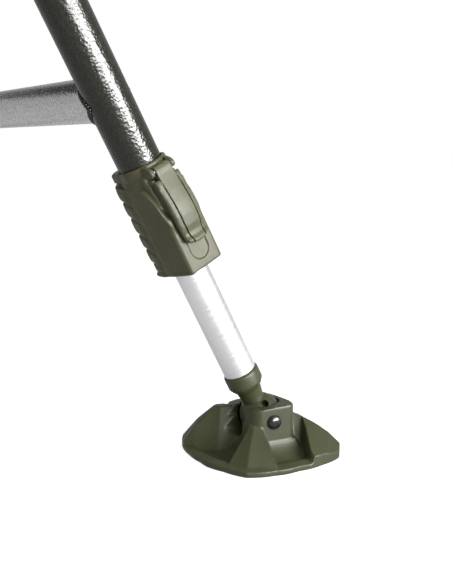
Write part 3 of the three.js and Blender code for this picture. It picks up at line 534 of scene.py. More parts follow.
def skinned(rows, loop=False):
    """A closed skin over rows of points; a row of one point is a pole"""
    work = bmesh.new()
    rings = [[work.verts.new(point) for point in row] for row in rows]
    lace(work, rings, loop)
    if not loop:
        for ring in (rings[0], rings[-1]):
            if len(ring) > 2:
                work.faces.new(ring)
    bmesh.ops.recalc_face_normals(work, faces=work.faces)
    mesh = bpy.data.meshes.new("skin")
    work.to_mesh(mesh)
    work.free()
    return mesh


def slab(outline, near, far):
    """A body between two values of Y over an outline drawn in X and Z"""
    return skinned([[(px, y, pz) for px, pz in outline] for y in (near, far)])


def moulded(mesh, voxel, share):
    """One skin over a carved body, its edges as soft as a moulding's"""
    body = link(mesh, "moulding")
    remesh = body.modifiers.new("skin", "REMESH")
    remesh.mode = "VOXEL"
    remesh.voxel_size = voxel
    soft = body.modifiers.new("soft", "SMOOTH")
    soft.factor = 0.5
    soft.iterations = 1
    body.modifiers.new("fewer", "DECIMATE").ratio = share
    return tidy(settled(body), 60, mend=False)


def crowned_block(corners, low, high, radius, crown):
    """An upright block over a flat outline with rounded corners and a rounded upper edge"""
    flat = np.array(eased(corners, radius, 8, loop=True))
    middle = flat.mean(0)
    rows = [np.column_stack([flat, np.full(len(flat), low)])]
    for turn in np.linspace(0, math.pi / 2, 6):
        reach = np.linalg.norm(flat - middle, axis=1, keepdims=True)
        inset = middle + (flat - middle) * (1 - crown * (1 - math.cos(turn)) / reach)
        rows.append(np.column_stack([inset, np.full(len(flat), high - crown * (1 - math.sin(turn)))]))
    return skinned(rows)


hub_side, hub_top = 19, 9.9
hub = crowned_block([(-11.5, -hub_side), (14.2, -hub_side), (15.4, -9), (14.6, hub_side),
                     (-15.4, hub_side), (-15.8, -5)], -pin_height + 2, hub_top, 7, 2.2)
# The hub's top falls away to the left and to the back
slope = brick((-40, -40, 0), (40, 40, 20))
slope.transform(Matrix.Translation((14, -hub_side, hub_top)) @ Matrix.Rotation(math.radians(-6.5), 4, "X")
                @ Matrix.Rotation(math.radians(-4.5), 4, "Y"))
dish = skinned(rows)
ball_room = turned([(0, -14)] + arc_points(14, -math.pi / 2, math.pi / 2, 25)[1:-1] + [(0, 14)], 64)
for point in ball_room.vertices:
    point.co.y = max(-ball_flat - 0.3, min(ball_flat + 0.3, point.co.y))
slot_half, slot_reach = 7.5, 32
neck_slot = slab([(0, 0)] + arc_points(slot_reach, math.radians(58.5), math.radians(186), 9),
                 -slot_half, slot_half)
side_slot = bar((-24, 0, -7), (-5, 0, -7), 5.6, 40)
side_slot_top = brick((-24, -5.6, -7), (-5, 5.6, 6))
mud_foot = carved(dish, joins=[hub], cuts=[slope, ball_room, neck_slot, side_slot, side_slot_top,
                                           bar((0, -30, 0), (0, 30, 0), pin_radius + 0.3, 40)])
mud_foot = moulded(mud_foot, 0.55, 0.4)
fit_to_legs(mud_foot, "mud_foot", "moulded", foot_frame, olive_plastic, "olive_plastic", "foot")

# ---- Foot pins
# A cross pin through both cheeks of the hub and the ball, with a domed black head at each end.
black_plastic = grained_finish("black_plastic", (0.013, 0.012, 0.014), (0.024, 0.022, 0.025),
                               (0.1, 0.22), (60, 1400), (0.12, 0.0001))


def domed_head(radius, rise, seat, way):
    """A low dome from its seat to its crown, or from crown to seat where it faces down"""
    arc = [(radius * math.cos(t), seat + way * rise * (0.22 + 0.78 * math.sin(t)))
           for t in np.linspace(0, math.pi / 2, 7)]
    arc[-1] = (0, seat + way * rise)
    profile = [(radius - 0.15, seat)] + arc
    return profile if way > 0 else profile[::-1]


head_seat = hub_side + 0.3
foot_pin = turned(domed_head(4.4, 2.6, -head_seat, -1) + [(pin_radius, -head_seat), (pin_radius, head_seat)]
                  + domed_head(4.4, 2.6, head_seat, 1), 40)
foot_pin.transform(Matrix.Rotation(-math.pi / 2, 4, "X"))
fit_to_legs(foot_pin, "foot_pin", "domed", foot_frame, black_plastic, "black_plastic", "foot")

# ---- Painted outer tubes
# Steel tube, 25 mm, in dark green hammertone paint; it is pressed shut in a low dome at its top and
# bored there for the pivot rivet.
paint_dark, paint_pale = (0.007, 0.008, 0.003), (0.020, 0.021, 0.011)


def hammer_cells_group():
    """The small round dimples that hammertone paint dries in, bent out of line a little"""
    group = bpy.data.node_groups.new("hammer_cells", "ShaderNodeTree")
    group.interface.new_socket("Bend", in_out="INPUT", socket_type="NodeSocketFloat")
    group.interface.new_socket("Cells", in_out="OUTPUT", socket_type="NodeSocketFloat")
    nodes, links = group.nodes, group.links
    ins, outs = nodes.new("NodeGroupInput"), nodes.new("NodeGroupOutput")
    place = nodes.new("ShaderNodeTexCoord")
    bend = nodes.new("ShaderNodeTexNoise")
    bend.inputs["Scale"].default_value = 420
    bend.inputs["Detail"].default_value = 3
    links.new(place.outputs["Object"], bend.inputs["Vector"])
    shift = nodes.new("ShaderNodeMix")
    shift.data_type = "VECTOR"
    links.new(ins.outputs["Bend"], shift.inputs["Factor"])
    links.new(place.outputs["Object"], shift.inputs["A"])
    links.new(bend.outputs["Color"], shift.inputs["B"])
    cells = nodes.new("ShaderNodeTexVoronoi")
    cells.feature = "SMOOTH_F1"
    cells.inputs["Scale"].default_value = 640
    cells.inputs["Smoothness"].default_value = 0.6
    links.new(shift.outputs["Result"], cells.inputs["Vector"])
    links.new(cells.outputs["Distance"], outs.inputs["Cells"])
    return group


hammer_cells = hammer_cells_group()


def hammered(material_parts, colours, bend, patch_scale, roughness, bump):
    """Lays hammertone's cells over a finish: their colour, their gloss and their relief"""
    material, shader, nodes, links = material_parts
    cells = nodes.new("ShaderNodeGroup")
    cells.node_tree = hammer_cells
    cells.inputs["Bend"].default_value = bend
    tone(nodes, links, cells.outputs["Cells"], *colours, shader.inputs["Base Color"], 0.2, 0.75)
    tone(nodes, links, grain_in(nodes, patch_scale)[0], *roughness, shader.inputs["Roughness"])
    relief(nodes, links, cells.outputs["Cells"], shader, *bump)
    return material


hammertone = hammered(finish_of("hammertone_paint", paint_dark, 0.2, 0.0, 0.5), (paint_dark, paint_pale),
                      0.0012, 900, (0.14, 0.32), (0.36, 0.0005))

tube_radius, tube_wall, leg_end, tube_foot = 12.5, 1.3, 372, 150
outer_profile = eased([(11.2, tube_foot), (tube_radius, tube_foot), (tube_radius, leg_end - 3.2),
                       (10.6, leg_end - 0.8), (0, leg_end)], 1.2, 4)[:-1] + [(0, leg_end)]
outer_profile += [(0, leg_end - 1.4), (9.4, leg_end - 2.4), (11.2, leg_end - 4.2)]


def bridged(mesh):
    """Closes a turned tube between the two rims that its profile leaves open"""
    work = bmesh.new()
    work.from_mesh(mesh)
    bmesh.ops.bridge_loops(work, edges=[edge for edge in work.edges if edge.is_boundary])
    work.to_mesh(mesh)
    work.free()
    return tidy(mesh)


def fit_painted(mesh, node, made, place, body):
    """Sets a piece of dark painted steel on a body"""
    fit_node(mesh, node, made, place, hammertone, body, "painted_tube")


outer_tube = bridged(turned(outer_profile, 72))
leg_length, rivet_hole = 360, 4.5
for leg in legs:
    place = leg_frame(leg)
    sideways = (place.inverted().to_3x3() @ y_way).normalized() * 30
    pivot = Vector((0, 0, leg_length))
    bored = tidy(carved(outer_tube, cuts=[bar(pivot - sideways, pivot + sideways, rivet_hole)]))
    fit_painted(bored, leg + "_outer_tube", "painted", place, leg.split("_")[0] + "_leg_frame")

# ---- Clamp bodies
# An olive moulding round both tubes, split open at its front for the lever's tongue: a flat face for
# the lever, two hinge ears at the rim, finger ribs down the back and smooth raised side panels.
# A lighter copy of the feet's olive plastic: its extra lightness is painted light that lifts the clamp's
# sides out of their shade
clamp_plastic_painted_light = grained_finish("clamp_plastic_painted_light", (0.104, 0.101, 0.054), (0.136, 0.133, 0.075),
                               (0.34, 0.5), (34, 1900), (0.22, 0.00025), specular=0.26)

clamp_foot, clamp_top, rim_foot, rim_radius = 106.6, 171.2, 166.6, 14.8
clamp_half, face_reach, back_reach = 14.4, 19.0, 18.8
face_bend, face_top_share = 148, 0.78
pin_station, pin_reach = 166.5, 17.6
sides = [(0.755, -1), (0.84, -0.92), (0.98, -0.2), (1, 0.32), (0.93, 0.72), (0.64, 0.94), (0, 1)]
flat = [(across * clamp_half, reach * (back_reach if reach > 0 else face_reach)) for across, reach in sides]
flat = np.array(flat + [(-px, py) for px, py in flat[-2::-1]])


def clamp_frame(leg):
    """Z runs up the leg from the foot's pin, and the lever faces -Y"""
    up = -Vector(joints[leg + "_leg_slide"]["axis"])
    across = -Vector(joints[leg + "_lever_swing"]["axis"])
    return frame_of(across, up.cross(across), up, Vector(joints[leg + "_foot_tilt"]["pos_m"]))


def even_outline(points, count, softness):
    """The same number of points round a closed outline, with its corners softened"""
    closed = np.vstack([points, points[:1]])
    run = np.concatenate([[0], np.cumsum(np.linalg.norm(np.diff(closed, axis=0), axis=1))])
    spots = np.linspace(0, run[-1], count, endpoint=False)
    even = np.stack([np.interp(spots, run, closed[:, k]) for k in (0, 1)], 1)
    spread = np.arange(-40, 41) * run[-1] / count
    weight = np.exp(-0.5 * (spread / softness) ** 2)
    weight /= weight.sum()
    return sum(w * np.roll(even, int(k), axis=0) for w, k in zip(weight, range(-40, 41)))


outline = even_outline(flat, 340, 0.6)
stations = np.concatenate([[clamp_foot, clamp_foot + 0.3, clamp_foot + 0.8], np.arange(107.8, 163, 0.45),
                           np.arange(163, 169.9, 0.3), [170.2, 170.6, 170.9, 171.1, clamp_top]])
rib_grooves = [115.6, 125.0, 134.5, 145.0, 155.0, 163.5]
border_heights = [110, 127, 132, 142, 152, 157, 159.4, 161, 162.6, 164, 166]
border_places = [-34, -30, -22.5, -19, -16.8, -15, -12, -5, 4, 13, 24]
rows = []
for station in stations:
    points = outline.copy()
    lean = np.interp(station, [face_bend, rim_foot], [1, face_top_share])
    points[:, 1] = np.where(points[:, 1] < 0, points[:, 1] * lean, points[:, 1])
    radius = np.linalg.norm(points, axis=1)
    way = points / radius[:, None]
    px, py = points[:, 0], outline[:, 1]
    # Finger ribs swell a little between narrow grooves, which slope down into each side
    across_back = np.clip((py - 2.5) / 4, 0, 1)
    level = station + 0.42 * np.clip(13 - py, 0, 12)
    swell, groove = np.zeros_like(py), np.zeros_like(py)
    for low, high in zip(rib_grooves, rib_grooves[1:]):
        share = np.clip((level - low) / (high - low), 0, 1)
        between = (level > low) & (level < high)
        swell = np.maximum(swell, np.where(between, 1 - np.abs(2 * share - 1) ** 2.6, 0))
        groove = np.maximum(groove, np.exp(-((level - low) / 0.6) ** 2))
    radius += across_back * (0.6 * swell - 1.25 * groove)
    # Each side panel stands proud below its curved upper edge, with a low bead along the edge
    border = np.interp(station, border_heights, border_places)
    beyond = np.clip((border - py) / 1.6 + 0.5, 0, 1)
    on_side = np.clip((np.abs(px) - 6) / 3, 0, 1)
    radius -= 2.7 * on_side * smooth(beyond)
    radius += 0.5 * on_side * np.exp(-((py - border - 1.7) / 1.0) ** 2)
    # A fine groove runs round the sides and the back a little above the foot
    skirt = np.clip((py + 17.5) / 1.5, 0, 1)
    radius += (0.3 + 0.7 * across_back) * skirt * np.clip((108.9 - station) / 0.3, 0, 1)
    radius -= 0.75 * skirt * math.exp(-((station - 109.2) / 0.42) ** 2)
    radius = np.maximum(radius, 13.8 if station > 151 else 14.4)
    if station < clamp_foot + 1:
        radius -= 0.7 * (1 - (station - clamp_foot)) ** 2
    # The rim is round at the front and follows the back's outline behind
    front = np.clip((4 - py) / 10, 0, 1)
    rim = rim_radius * front + (np.linalg.norm(outline, axis=1) - 0.9) * (1 - front)
    share = min(1, max(0, (station - rim_foot + 1.6) / 1.6))
    radius = radius + (rim - radius) * smooth(share)
    if station > clamp_top - 1.1:
        radius -= 1.1 - math.sqrt(max(0, 1.21 - (station - clamp_top + 1.1) ** 2))
    rows.append(np.column_stack([way * radius[:, None], np.full(len(radius), station)]))
sleeve = skinned(rows)
ears = []
ear = [(-11, 170.6), (-15.0, 170.3), (-18.9, 168.5), (-19.9, 166.6), (-19.6, 164.9), (-18.4, 164.0),
       (-11, 164.0)]
lug = [(-11, 162.9), (-16.6, 162.9), (-17.0, 161.2), (-16.6, 159.8), (-11, 159.8)]
for hand in (-1, 1):
    for outline_of in (ear, lug):
        flat = eased(outline_of, 0.7, 3, loop=True)
        ears.append(skinned([[(hand * place, py, pz) for py, pz in flat] for place in (5.9, 8.5)]))
inner_bore, outer_bore, outer_seat, pin_hole = 10.45, 12.75, 149.6, 1.55
bore = bar((0, 0, 100), (0, 0, 180), inner_bore, 64)
seat = bar((0, 0, outer_seat), (0, 0, 180), outer_bore, 64)
pocket = bar((-5.85, -pin_reach, pin_station), (5.85, -pin_reach, pin_station), 3.6, 48)
# The tongue is parted off by a slit down each side and one across its top
tongue_inner, tongue_outer, tongue_foot, tongue_top = 5, 6.2, 127, 145.2
slits = [brick((-tongue_outer, -22, tongue_foot), (-tongue_inner, -5, tongue_top)),
         brick((tongue_inner, -22, tongue_foot), (tongue_outer, -5, tongue_top)),
         brick((-tongue_outer, -22, tongue_top - 1.2), (tongue_outer, -5, tongue_top))]
hole = bar((-8, -pin_reach, pin_station), (8, -pin_reach, pin_station), pin_hole, 24)
thumb_half, thumb_foot, thumb_depth = 6.4, 111.4, 0.75
thumb_edge = arc_points(thumb_half, -math.pi, 0, 25, (0, thumb_foot + thumb_half))
thumb_edge += [(thumb_half, 126), (-thumb_half, 126)]
thumb = skinned([[(px, -face_reach - 4, pz) for px, pz in thumb_edge],
                 [(px * 0.98, -face_reach + thumb_depth, pz + 0.1) for px, pz in thumb_edge]])
clamp_body = carved(sleeve, joins=ears, cuts=[bore, seat, pocket, thumb, hole, *slits])
clamp_body = moulded(clamp_body, 0.36, 0.3)
# The clamp wears the lighter copy of the olive plastic, which paints light on its shaded sides
fit_to_legs(clamp_body, "clamp_body", "moulded", clamp_frame, clamp_plastic_painted_light, "olive_plastic", "leg_frame")

# ---- Clamp levers
# A broad lever in a slightly paler moulding: a crowned panel that runs up between the ears to a round
# knuckle, a strip parted off by a groove down each edge, and a thick lip over the thumb recess.
lever_plastic = grained_finish("lever_plastic", (0.108, 0.112, 0.066), (0.140, 0.145, 0.088),
                               (0.32, 0.5), (40, 2100), (0.18, 0.0002), specular=0.2)

lever_foot, lever_half, lip_half = 123.5, 8.8, 7.5
# Each view runs round the lever as seen from the side: place out and height up the leg
strip_view = [(-17.4, 161), (-18.1, 155.6), (-19.7, 148.5), (-19.7, 128.5), (-20.4, 124.6),
              (-21.4, 123.4), (-23.2, 123.2), (-24.4, 124.0), (-24.5, 125.3), (-23.2, 127.4),
              (-23.1, 129.6), (-24.0, 133.5), (-24.3, 140), (-23.8, 147), (-22.6, 154), (-21.4, 159.4),
              (-20.2, 161.6), (-18.6, 162)]
panel_view = strip_view[2:-5] + [(-24.3, 140), (-23.7, 147), (-22.4, 154), (-21.2, 160), (-20.5, 164),
                                 (-20.5, 166.8), (-19.6, 168.6), (-17.9, 169.3), (-16.1, 168.7),
                                 (-14.9, 167.1), (-14.7, 165.6), (-15.6, 163.4), (-16.6, 160.5)]


def lever_band(view, columns):
    """A band of the lever: its side view swept over columns of place across, share across and inset"""
    view = even_outline(np.array(view), 200, 0.35)
    rows = []
    for side, inset, sunk, tuck in columns:
        row = []
        for out, station in view:
            half = np.interp(station, [lever_foot, lever_foot + 12], [lip_half, lever_half])
            place = side * (half - inset)
            outer = min(1, max(0, (-out - 20.6) / 1.6))
            out += outer * (sunk + 0.9 * (place / lever_half) ** 2)
            core = np.array([-20.9 if station < 158 else -18.4, min(max(station, lever_foot + 2.2), 166.5)])
            near_lip = min(1, max(0, (130 - station) / 6))
            station += near_lip * (1.9 * (place / lip_half) ** 2 - 0.6)
            toward = np.array([out, station]) - core
            reach = max(np.linalg.norm(toward), 1.6)
            out, station = core + toward * (1 - tuck / reach)
            row.append((place, out, station))
        rows.append(row)
    return skinned(rows)


round_edge = [(0.0, 1.25), (0.12, 0.86), (0.35, 0.5), (0.7, 0.2), (1.1, 0.04), (1.4, 0)]
strips = []
for side in (-1, 1):
    columns = [(side, inset, 0, tuck) for inset, tuck in round_edge]
    columns += [(side, inset, 0, 0) for inset in (2.0, 2.6, 2.9)]
    columns += [(side, 3.1, 0.25, 0), (side, 3.2, 0.9, 0), (side, 3.9, 0.9, 0)]
    strips.append(lever_band(strip_view, columns))
columns = [(-1, 3.6, 0.2, 0.25), (-1, 3.7, -0.15, 0.05), (-1, 3.9, -0.25, 0), (-1, 4.6, -0.25, 0),
           (-1, 6.4, -0.25, 0), (-0.2, 0, -0.25, 0)]
columns += [(-side, *rest) for side, *rest in columns[::-1]]
lever = carved(lever_band(panel_view, columns), joins=strips,
               cuts=[bar((-22, -pin_reach, pin_station), (22, -pin_reach, pin_station), pin_hole, 32)])
tidy(lever, 34)
fit_to_legs(lever, "clamp_lever", "moulded", clamp_frame, lever_plastic, "lever_plastic", "lever")

# ---- Lever pins
# Plain steel pins, 3 mm, pushed through the lever from ear to ear; the ears close over their ends.
zinc_steel = grained_finish("zinc_steel", (0.30, 0.30, 0.28), (0.50, 0.50, 0.48), (0.3, 0.5), (160, 900),
                            (0.15, 0.0001), metallic=1.0)

lever_pin = turned(eased([(0, -7.9), (1.5, -7.9), (1.5, 7.9), (0, 7.9)], 0.35), 28)
lever_pin.transform(Matrix.Translation((0, -pin_reach, pin_station)) @ Matrix.Rotation(math.pi / 2, 4, "Y"))
fit_to_legs(lever_pin, "lever_pin", "pressed", clamp_frame, zinc_steel, "steel", "leg_frame")

# ---- Cross tubes
# The same tube and paint as the legs, in a pale, more metallic copy of the paint that paints a glare of
# light along it; it is notched round both legs of a pair and welded to them; the weld's ripples show under
# the paint.
# A pale, more metallic copy of the dark hammertone: its paleness is a painted glare of light, not a paler
# paint
glare_painted_paint = hammered(finish_of("painted_glare_hammertone_paint", (0.5, 0.5, 0.5), 0.3, 0.85),
                      ((0.50, 0.50, 0.505), (0.70, 0.70, 0.71)), 0, 700, (0.22, 0.36), (0.3, 0.0004))


def row_tree(name, sizes, subject):
    """A tree that sets a small shape at even steps along a path; subject makes the shape and scales it"""
    tree = bpy.data.node_groups.new(name, "GeometryNodeTree")
    tree.interface.new_socket("Path", in_out="INPUT", socket_type="NodeSocketGeometry")
    keys = {}
    for label, value in sizes.items():
        socket = tree.interface.new_socket(label, in_out="INPUT", socket_type="NodeSocketFloat")
        socket.default_value = value
        keys[label] = socket.identifier
    keys["Finish"] = tree.interface.new_socket("Finish", in_out="INPUT",
                                               socket_type="NodeSocketMaterial").identifier
    tree.interface.new_socket("Row", in_out="OUTPUT", socket_type="NodeSocketGeometry")
    nodes, links = tree.nodes, tree.links
    ins, outs = nodes.new("NodeGroupInput"), nodes.new("NodeGroupOutput")
    path = nodes.new("GeometryNodeMeshToCurve")
    spots = nodes.new("GeometryNodeResampleCurve")
    spots.mode = "LENGTH"
    tangent = nodes.new("GeometryNodeInputTangent")
    heading = nodes.new("FunctionNodeAlignRotationToVector")
    heading.axis = "Z"
    spread = nodes.new("GeometryNodeInstanceOnPoints")
    real = nodes.new("GeometryNodeRealizeInstances")
    dress = nodes.new("GeometryNodeSetMaterial")
    links.new(ins.outputs["Path"], path.inputs[0])
    links.new(path.outputs[0], spots.inputs["Curve"])
    links.new(ins.outputs["Pitch"], spots.inputs["Length"])
    links.new(tangent.outputs[0], heading.inputs["Vector"])
    links.new(spots.outputs[0], spread.inputs["Points"])
    links.new(heading.outputs[0], spread.inputs["Rotation"])
    links.new(subject(nodes, links, ins, spread), spread.inputs["Instance"])
    links.new(spread.outputs[0], real.inputs[0])
    links.new(real.outputs[0], dress.inputs["Geometry"])
    links.new(ins.outputs["Finish"], dress.inputs["Material"])
    links.new(dress.outputs[0], outs.inputs["Row"])
    return tree, keys


def run_row(row, mesh, sizes, finish, name, body):
    """Runs a row tree along the edges of a mesh and keeps the result as a piece of its own"""
    tree, keys = row
    piece = link(mesh, name + "_path")
    modifier = piece.modifiers.new("row", "NODES")
    modifier.node_group = tree
    for label, value in sizes.items():
        modifier[keys[label]] = value
    modifier[keys["Finish"]] = finish
    result = settled(piece)
    result.shade_smooth()
    piece = link(result, name)
    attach(piece, body)


def weld_drop(nodes, links, ins, spread):
    """One ripple of a weld: a ball that is pressed a little along the bead"""
    drop = nodes.new("GeometryNodeMeshIcoSphere")
    drop.inputs["Subdivisions"].default_value = 2
    links.new(ins.outputs["Radius"], drop.inputs["Radius"])
    spread.inputs["Scale"].default_value = (1, 1, 0.75)
    return drop.outputs["Mesh"]


weld_row = row_tree("weld_bead", {"Pitch": 0.002, "Radius": 0.002}, weld_drop)


def weld(loops, radius, name, body):
    """A painted bead of overlapping ripples along closed lines of points in metres"""
    points, edges = [], []
    for loop in loops:
        first = len(points)
        points += [tuple(point) for point in loop]
        edges += [(first + i, first + (i + 1) % len(loop)) for i in range(len(loop))]
    mesh = bpy.data.meshes.new(name)
    mesh.from_pydata(points, edges, [])
    sizes = {"Pitch": radius * 1.1, "Radius": radius}
    run_row(weld_row, mesh, sizes, hammertone, name, body)


def joint_line(centre, way, radius, other, other_way, other_radius):
    """Where a tube that comes in along way meets the surface of the other tube, in metres"""
    way, other_way = way.normalized(), other_way.normalized()
    first = way.orthogonal().normalized()
    second = way.cross(first)
    line = []
    for turn in np.linspace(0, 2 * math.pi, 72, endpoint=False):
        start = centre + (first * math.cos(turn) + second * math.sin(turn)) * radius
        gap = start - other
        gap -= other_way * gap.dot(other_way)
        run = way - other_way * way.dot(other_way)
        a, b, c = run.dot(run), gap.dot(run), gap.dot(gap) - other_radius ** 2
        root = math.sqrt(max(0, b * b - a * c))
        line.append(start + way * ((-b - root) / a))
    return line


cross_station, notch_gap, weld_lift, weld_radius = 209, 0.3, 0.2, 0.0016
for pair in ("front", "rear"):
    ends = [leg_frame(f"{pair}_{hand}") @ Vector((0, 0, cross_station)) for hand in ("right", "left")]
    ways = [-Vector(joints[f"{pair}_{hand}_leg_slide"]["axis"]) for hand in ("right", "left")]
    reach = (ends[1] - ends[0]).length * 1000
    place = frame_of(x_way, -z_way, y_way, ends[0])
    body = turned([(tube_radius, 0), (tube_radius, reach), (tube_radius - tube_wall, reach),
                   (tube_radius - tube_wall, 0)], 72, loop=True)
    turn = place.inverted()
    tools = [bar(turn @ (end - way * 0.05), turn @ (end + way * 0.05), tube_radius + notch_gap, 72)
             for end, way in zip(ends, ways)]
    # The cross tube wears the pale copy of the paint, which paints a glare of light along it
    fit(tidy(carved(body, cuts=tools)), pair + "_cross_tube_painted", place, glare_painted_paint,
        pair + "_leg_frame", "painted_tube", pair + "_leg_cross_tube")
    reach = (tube_radius + weld_lift) * 0.001
    rings = [joint_line((ends[0] + ends[1]) / 2, y_way * y, reach, end, way, reach)
             for end, way, y in zip(ends, ways, (-1, 1))]
    weld(rings, weld_radius, pair + "_cross_tube_welds", pair + "_leg_frame")

# ---- Seat rails
# Two straight painted tubes, pressed shut at the rear; the front hoop is butted on their open ends.
def capped_tube(length, radius, wall):
    """A tube from its open end at the origin to a pressed dome"""
    profile = eased([(radius - wall, 0), (radius, 0), (radius, length - 3.2), (radius * 0.85, length - 0.8),
                     (0, length)], 1.0, 4)
    profile += [(0, length - 1.4), (radius * 0.75, length - 2.4), (radius - wall, length - 4.2)]
    return bridged(turned(profile, 64))


rear_way = frame_of(z_way, y_way, -x_way, Vector())
for hand in ("left", "right"):
    low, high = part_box("seat_rail_" + hand)
    middle = (low + high) / 2
    place = Matrix.Translation((high.x, middle.y, middle.z)) @ rear_way
    fit_painted(capped_tube((high.x - low.x) * 1000, tube_radius, tube_wall), "seat_rail_" + hand,
                "painted", place, "seat_frame")
rail_place, rail_span = middle, abs(middle.y) * 1000

# ---- Seat front hoop
# The tube goes on from one rail to the other round two bends.
corner_radius = 55


def hoop(reach):
    """A hoop of tube: two legs up from the Y axis and a bar across, with round bends"""
    path = [((-1, 0), (0, 1))]
    centre = reach - corner_radius
    for hand, first in ((-1, 0), (1, 14)):
        for step in range(15):
            turn = math.radians(90 / 14 * abs(first - step))
            y = hand * (rail_span - corner_radius + corner_radius * math.cos(turn))
            path.append(((y, centre + corner_radius * math.sin(turn)),
                         (-hand * math.sin(turn), -hand * math.cos(turn))))
    path[0] = ((-rail_span, 0), (0, 1))
    path.append(((rail_span, 0), (0, -1)))
    rows = []
    for radius in (tube_radius, tube_radius - tube_wall):
        rings = []
        for (y, z), (dy, dz) in path:
            rings.append([(radius * math.cos(t), y + radius * math.sin(t) * dz,
                           z - radius * math.sin(t) * dy)
                          for t in np.linspace(0, 2 * math.pi, 56, endpoint=False)])
        rows += rings if radius == tube_radius else rings[::-1]
    return tidy(skinned(rows, loop=True))


low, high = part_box("seat_front_hoop")
front_way = frame_of(-z_way, y_way, x_way, Vector())
fit_painted(hoop((high.x - low.x) * 1000 - tube_radius), "seat_front_hoop", "painted",
            Matrix.Translation((low.x, 0, rail_place.z)) @ front_way, "seat_frame")

# ---- Seat rear bar
# The same tube between the rails, notched and welded.
def cross_bar(radius):
    """A tube along Y between two rails or uprights along Z, notched round them"""
    inside = radius - tube_wall
    body = turned([(radius, -rail_span), (radius, rail_span), (inside, rail_span), (inside, -rail_span)],
                  64, loop=True)
    body.transform(Matrix.Rotation(-math.pi / 2, 4, "X"))
    tools = [bar((0, y, -40), (0, y, 40), tube_radius + notch_gap, 72) for y in (-rail_span, rail_span)]
    return tidy(carved(body, cuts=tools))


def bar_welds(place, radius, bead, name, body):
    """Beads round both ends of such a bar"""
    way, post = (place.to_3x3() @ axis * 1000 for axis in (y_way, z_way))
    lines = [joint_line(place @ Vector(), way * hand, (radius + weld_lift) * 0.001,
                        place @ Vector((0, hand * rail_span, 0)), post, (tube_radius + weld_lift) * 0.001)
             for hand in (-1, 1)]
    weld(lines, bead, name, body)


low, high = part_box("seat_rear_bar")
place = Matrix.Translation(((low.x + high.x) / 2, 0, rail_place.z)) @ rear_way
fit_painted(cross_bar(tube_radius), "seat_rear_bar", "painted", place, "seat_frame")
bar_welds(place, tube_radius, weld_radius, "seat_rear_bar_welds", "seat_frame")

# ---- Leg brackets
# Steel plate, 3 mm, cut to shape, bored for the pivot and welded to the side of the rail; a tab bent
# out of its lower edge stops the open leg.
in_millimetres = Matrix.Scale(0.001, 4)
plate_gap, plate_thickness, leg_offset = 12.8, 3, 30
bracket_corners = [(-0.53, 1), (0.65, 1), (1, -0.45), (1, -0.9), (0.59, -1), (-0.41, -0.39), (-0.59, 0)]


def plate(corners, near, far, cuts=(), joins=()):
    """A flat plate drawn in X and Z between two values of Y, with its edges just broken"""
    body = link(tidy(carved(slab(corners, near, far), joins=joins, cuts=cuts)), "plate")
    bevel = body.modifiers.new("edges", "BEVEL")
    bevel.width = 0.35
    bevel.segments = 2
    bevel.limit_method = "ANGLE"
    bevel.angle_limit = math.radians(50)
    return tidy(settled(body), 40)


leg_places = {"front_left": (1, 1, 1), "front_right": (1, -1, 1), "rear_left": (-1, 1, -1),
              "rear_right": (-1, -1, -1)}
lean = math.radians(26)
pivots = {}
for leg, (end, hand, side) in leg_places.items():
    pivot = Vector(joints[leg.split("_")[0] + "_legs_fold"]["pos_m"]) * 1000
    pivots[leg] = pivot
    outward = hand * side
    near = hand * rail_span + outward * plate_gap
    far = near + outward * plate_thickness
    outline = eased([(pivot.x + end * along * 34, pivot.z + up * (33 if up > 0 else 31))
                     for along, up in bracket_corners], 5, 5, loop=True)
    start = end * (tube_radius + 1.3)
    tab = brick((min(start, start + end * 3), min(far - outward, far + outward * 12), -28),
                (max(start, start + end * 3), max(far - outward, far + outward * 12), -12))
    tab.transform(Matrix.Translation((pivot.x, 0, pivot.z)) @ Matrix.Rotation(-end * lean, 4, "Y"))
    hole = bar((pivot.x, near - outward * 2, pivot.z), (pivot.x, far + outward * 2, pivot.z), rivet_hole)
    fit_painted(plate(outline, near, far, cuts=[hole], joins=[tab]), leg + "_leg_bracket", "plate",
                in_millimetres, "seat_frame")

# ---- Leg pivot rivets
# Shouldered steel rivets: a head inside the bracket, a collar that spaces the leg, a head outside it.
shank, collar, collar_foot, head_radius, head_rise = 4, 6.5, 3.3, 8, 3


def headed(points, foot, top=None):
    """A steel pin turned from points, with a domed head at its foot and one at its top if it has a top"""
    far_head = [] if top is None else domed_head(head_radius, head_rise, top, 1)
    return turned(domed_head(head_radius, head_rise, foot, -1) + points + far_head, 44)


for leg, (end, hand, side) in leg_places.items():
    bracket_near = rail_span + side * plate_gap
    leg_side = rail_span + side * leg_offset
    tube_near = side * (leg_side - side * tube_radius - bracket_near) - 0.6
    tube_far = side * (leg_side + side * tube_radius - bracket_near) + 1.2
    rivet = headed([(shank, -0.3), (shank, collar_foot), (collar, collar_foot), (collar, tube_near),
                    (shank, tube_near), (shank, tube_far)], -0.3, tube_far)
    place = Matrix.Translation((pivots[leg].x, hand * bracket_near, pivots[leg].z))
    place = in_millimetres @ place @ Matrix.Rotation(-side * hand * math.pi / 2, 4, "X")
    fit_node(rivet, leg + "_pivot_rivet", "set", place, zinc_steel, "seat_frame", "steel")

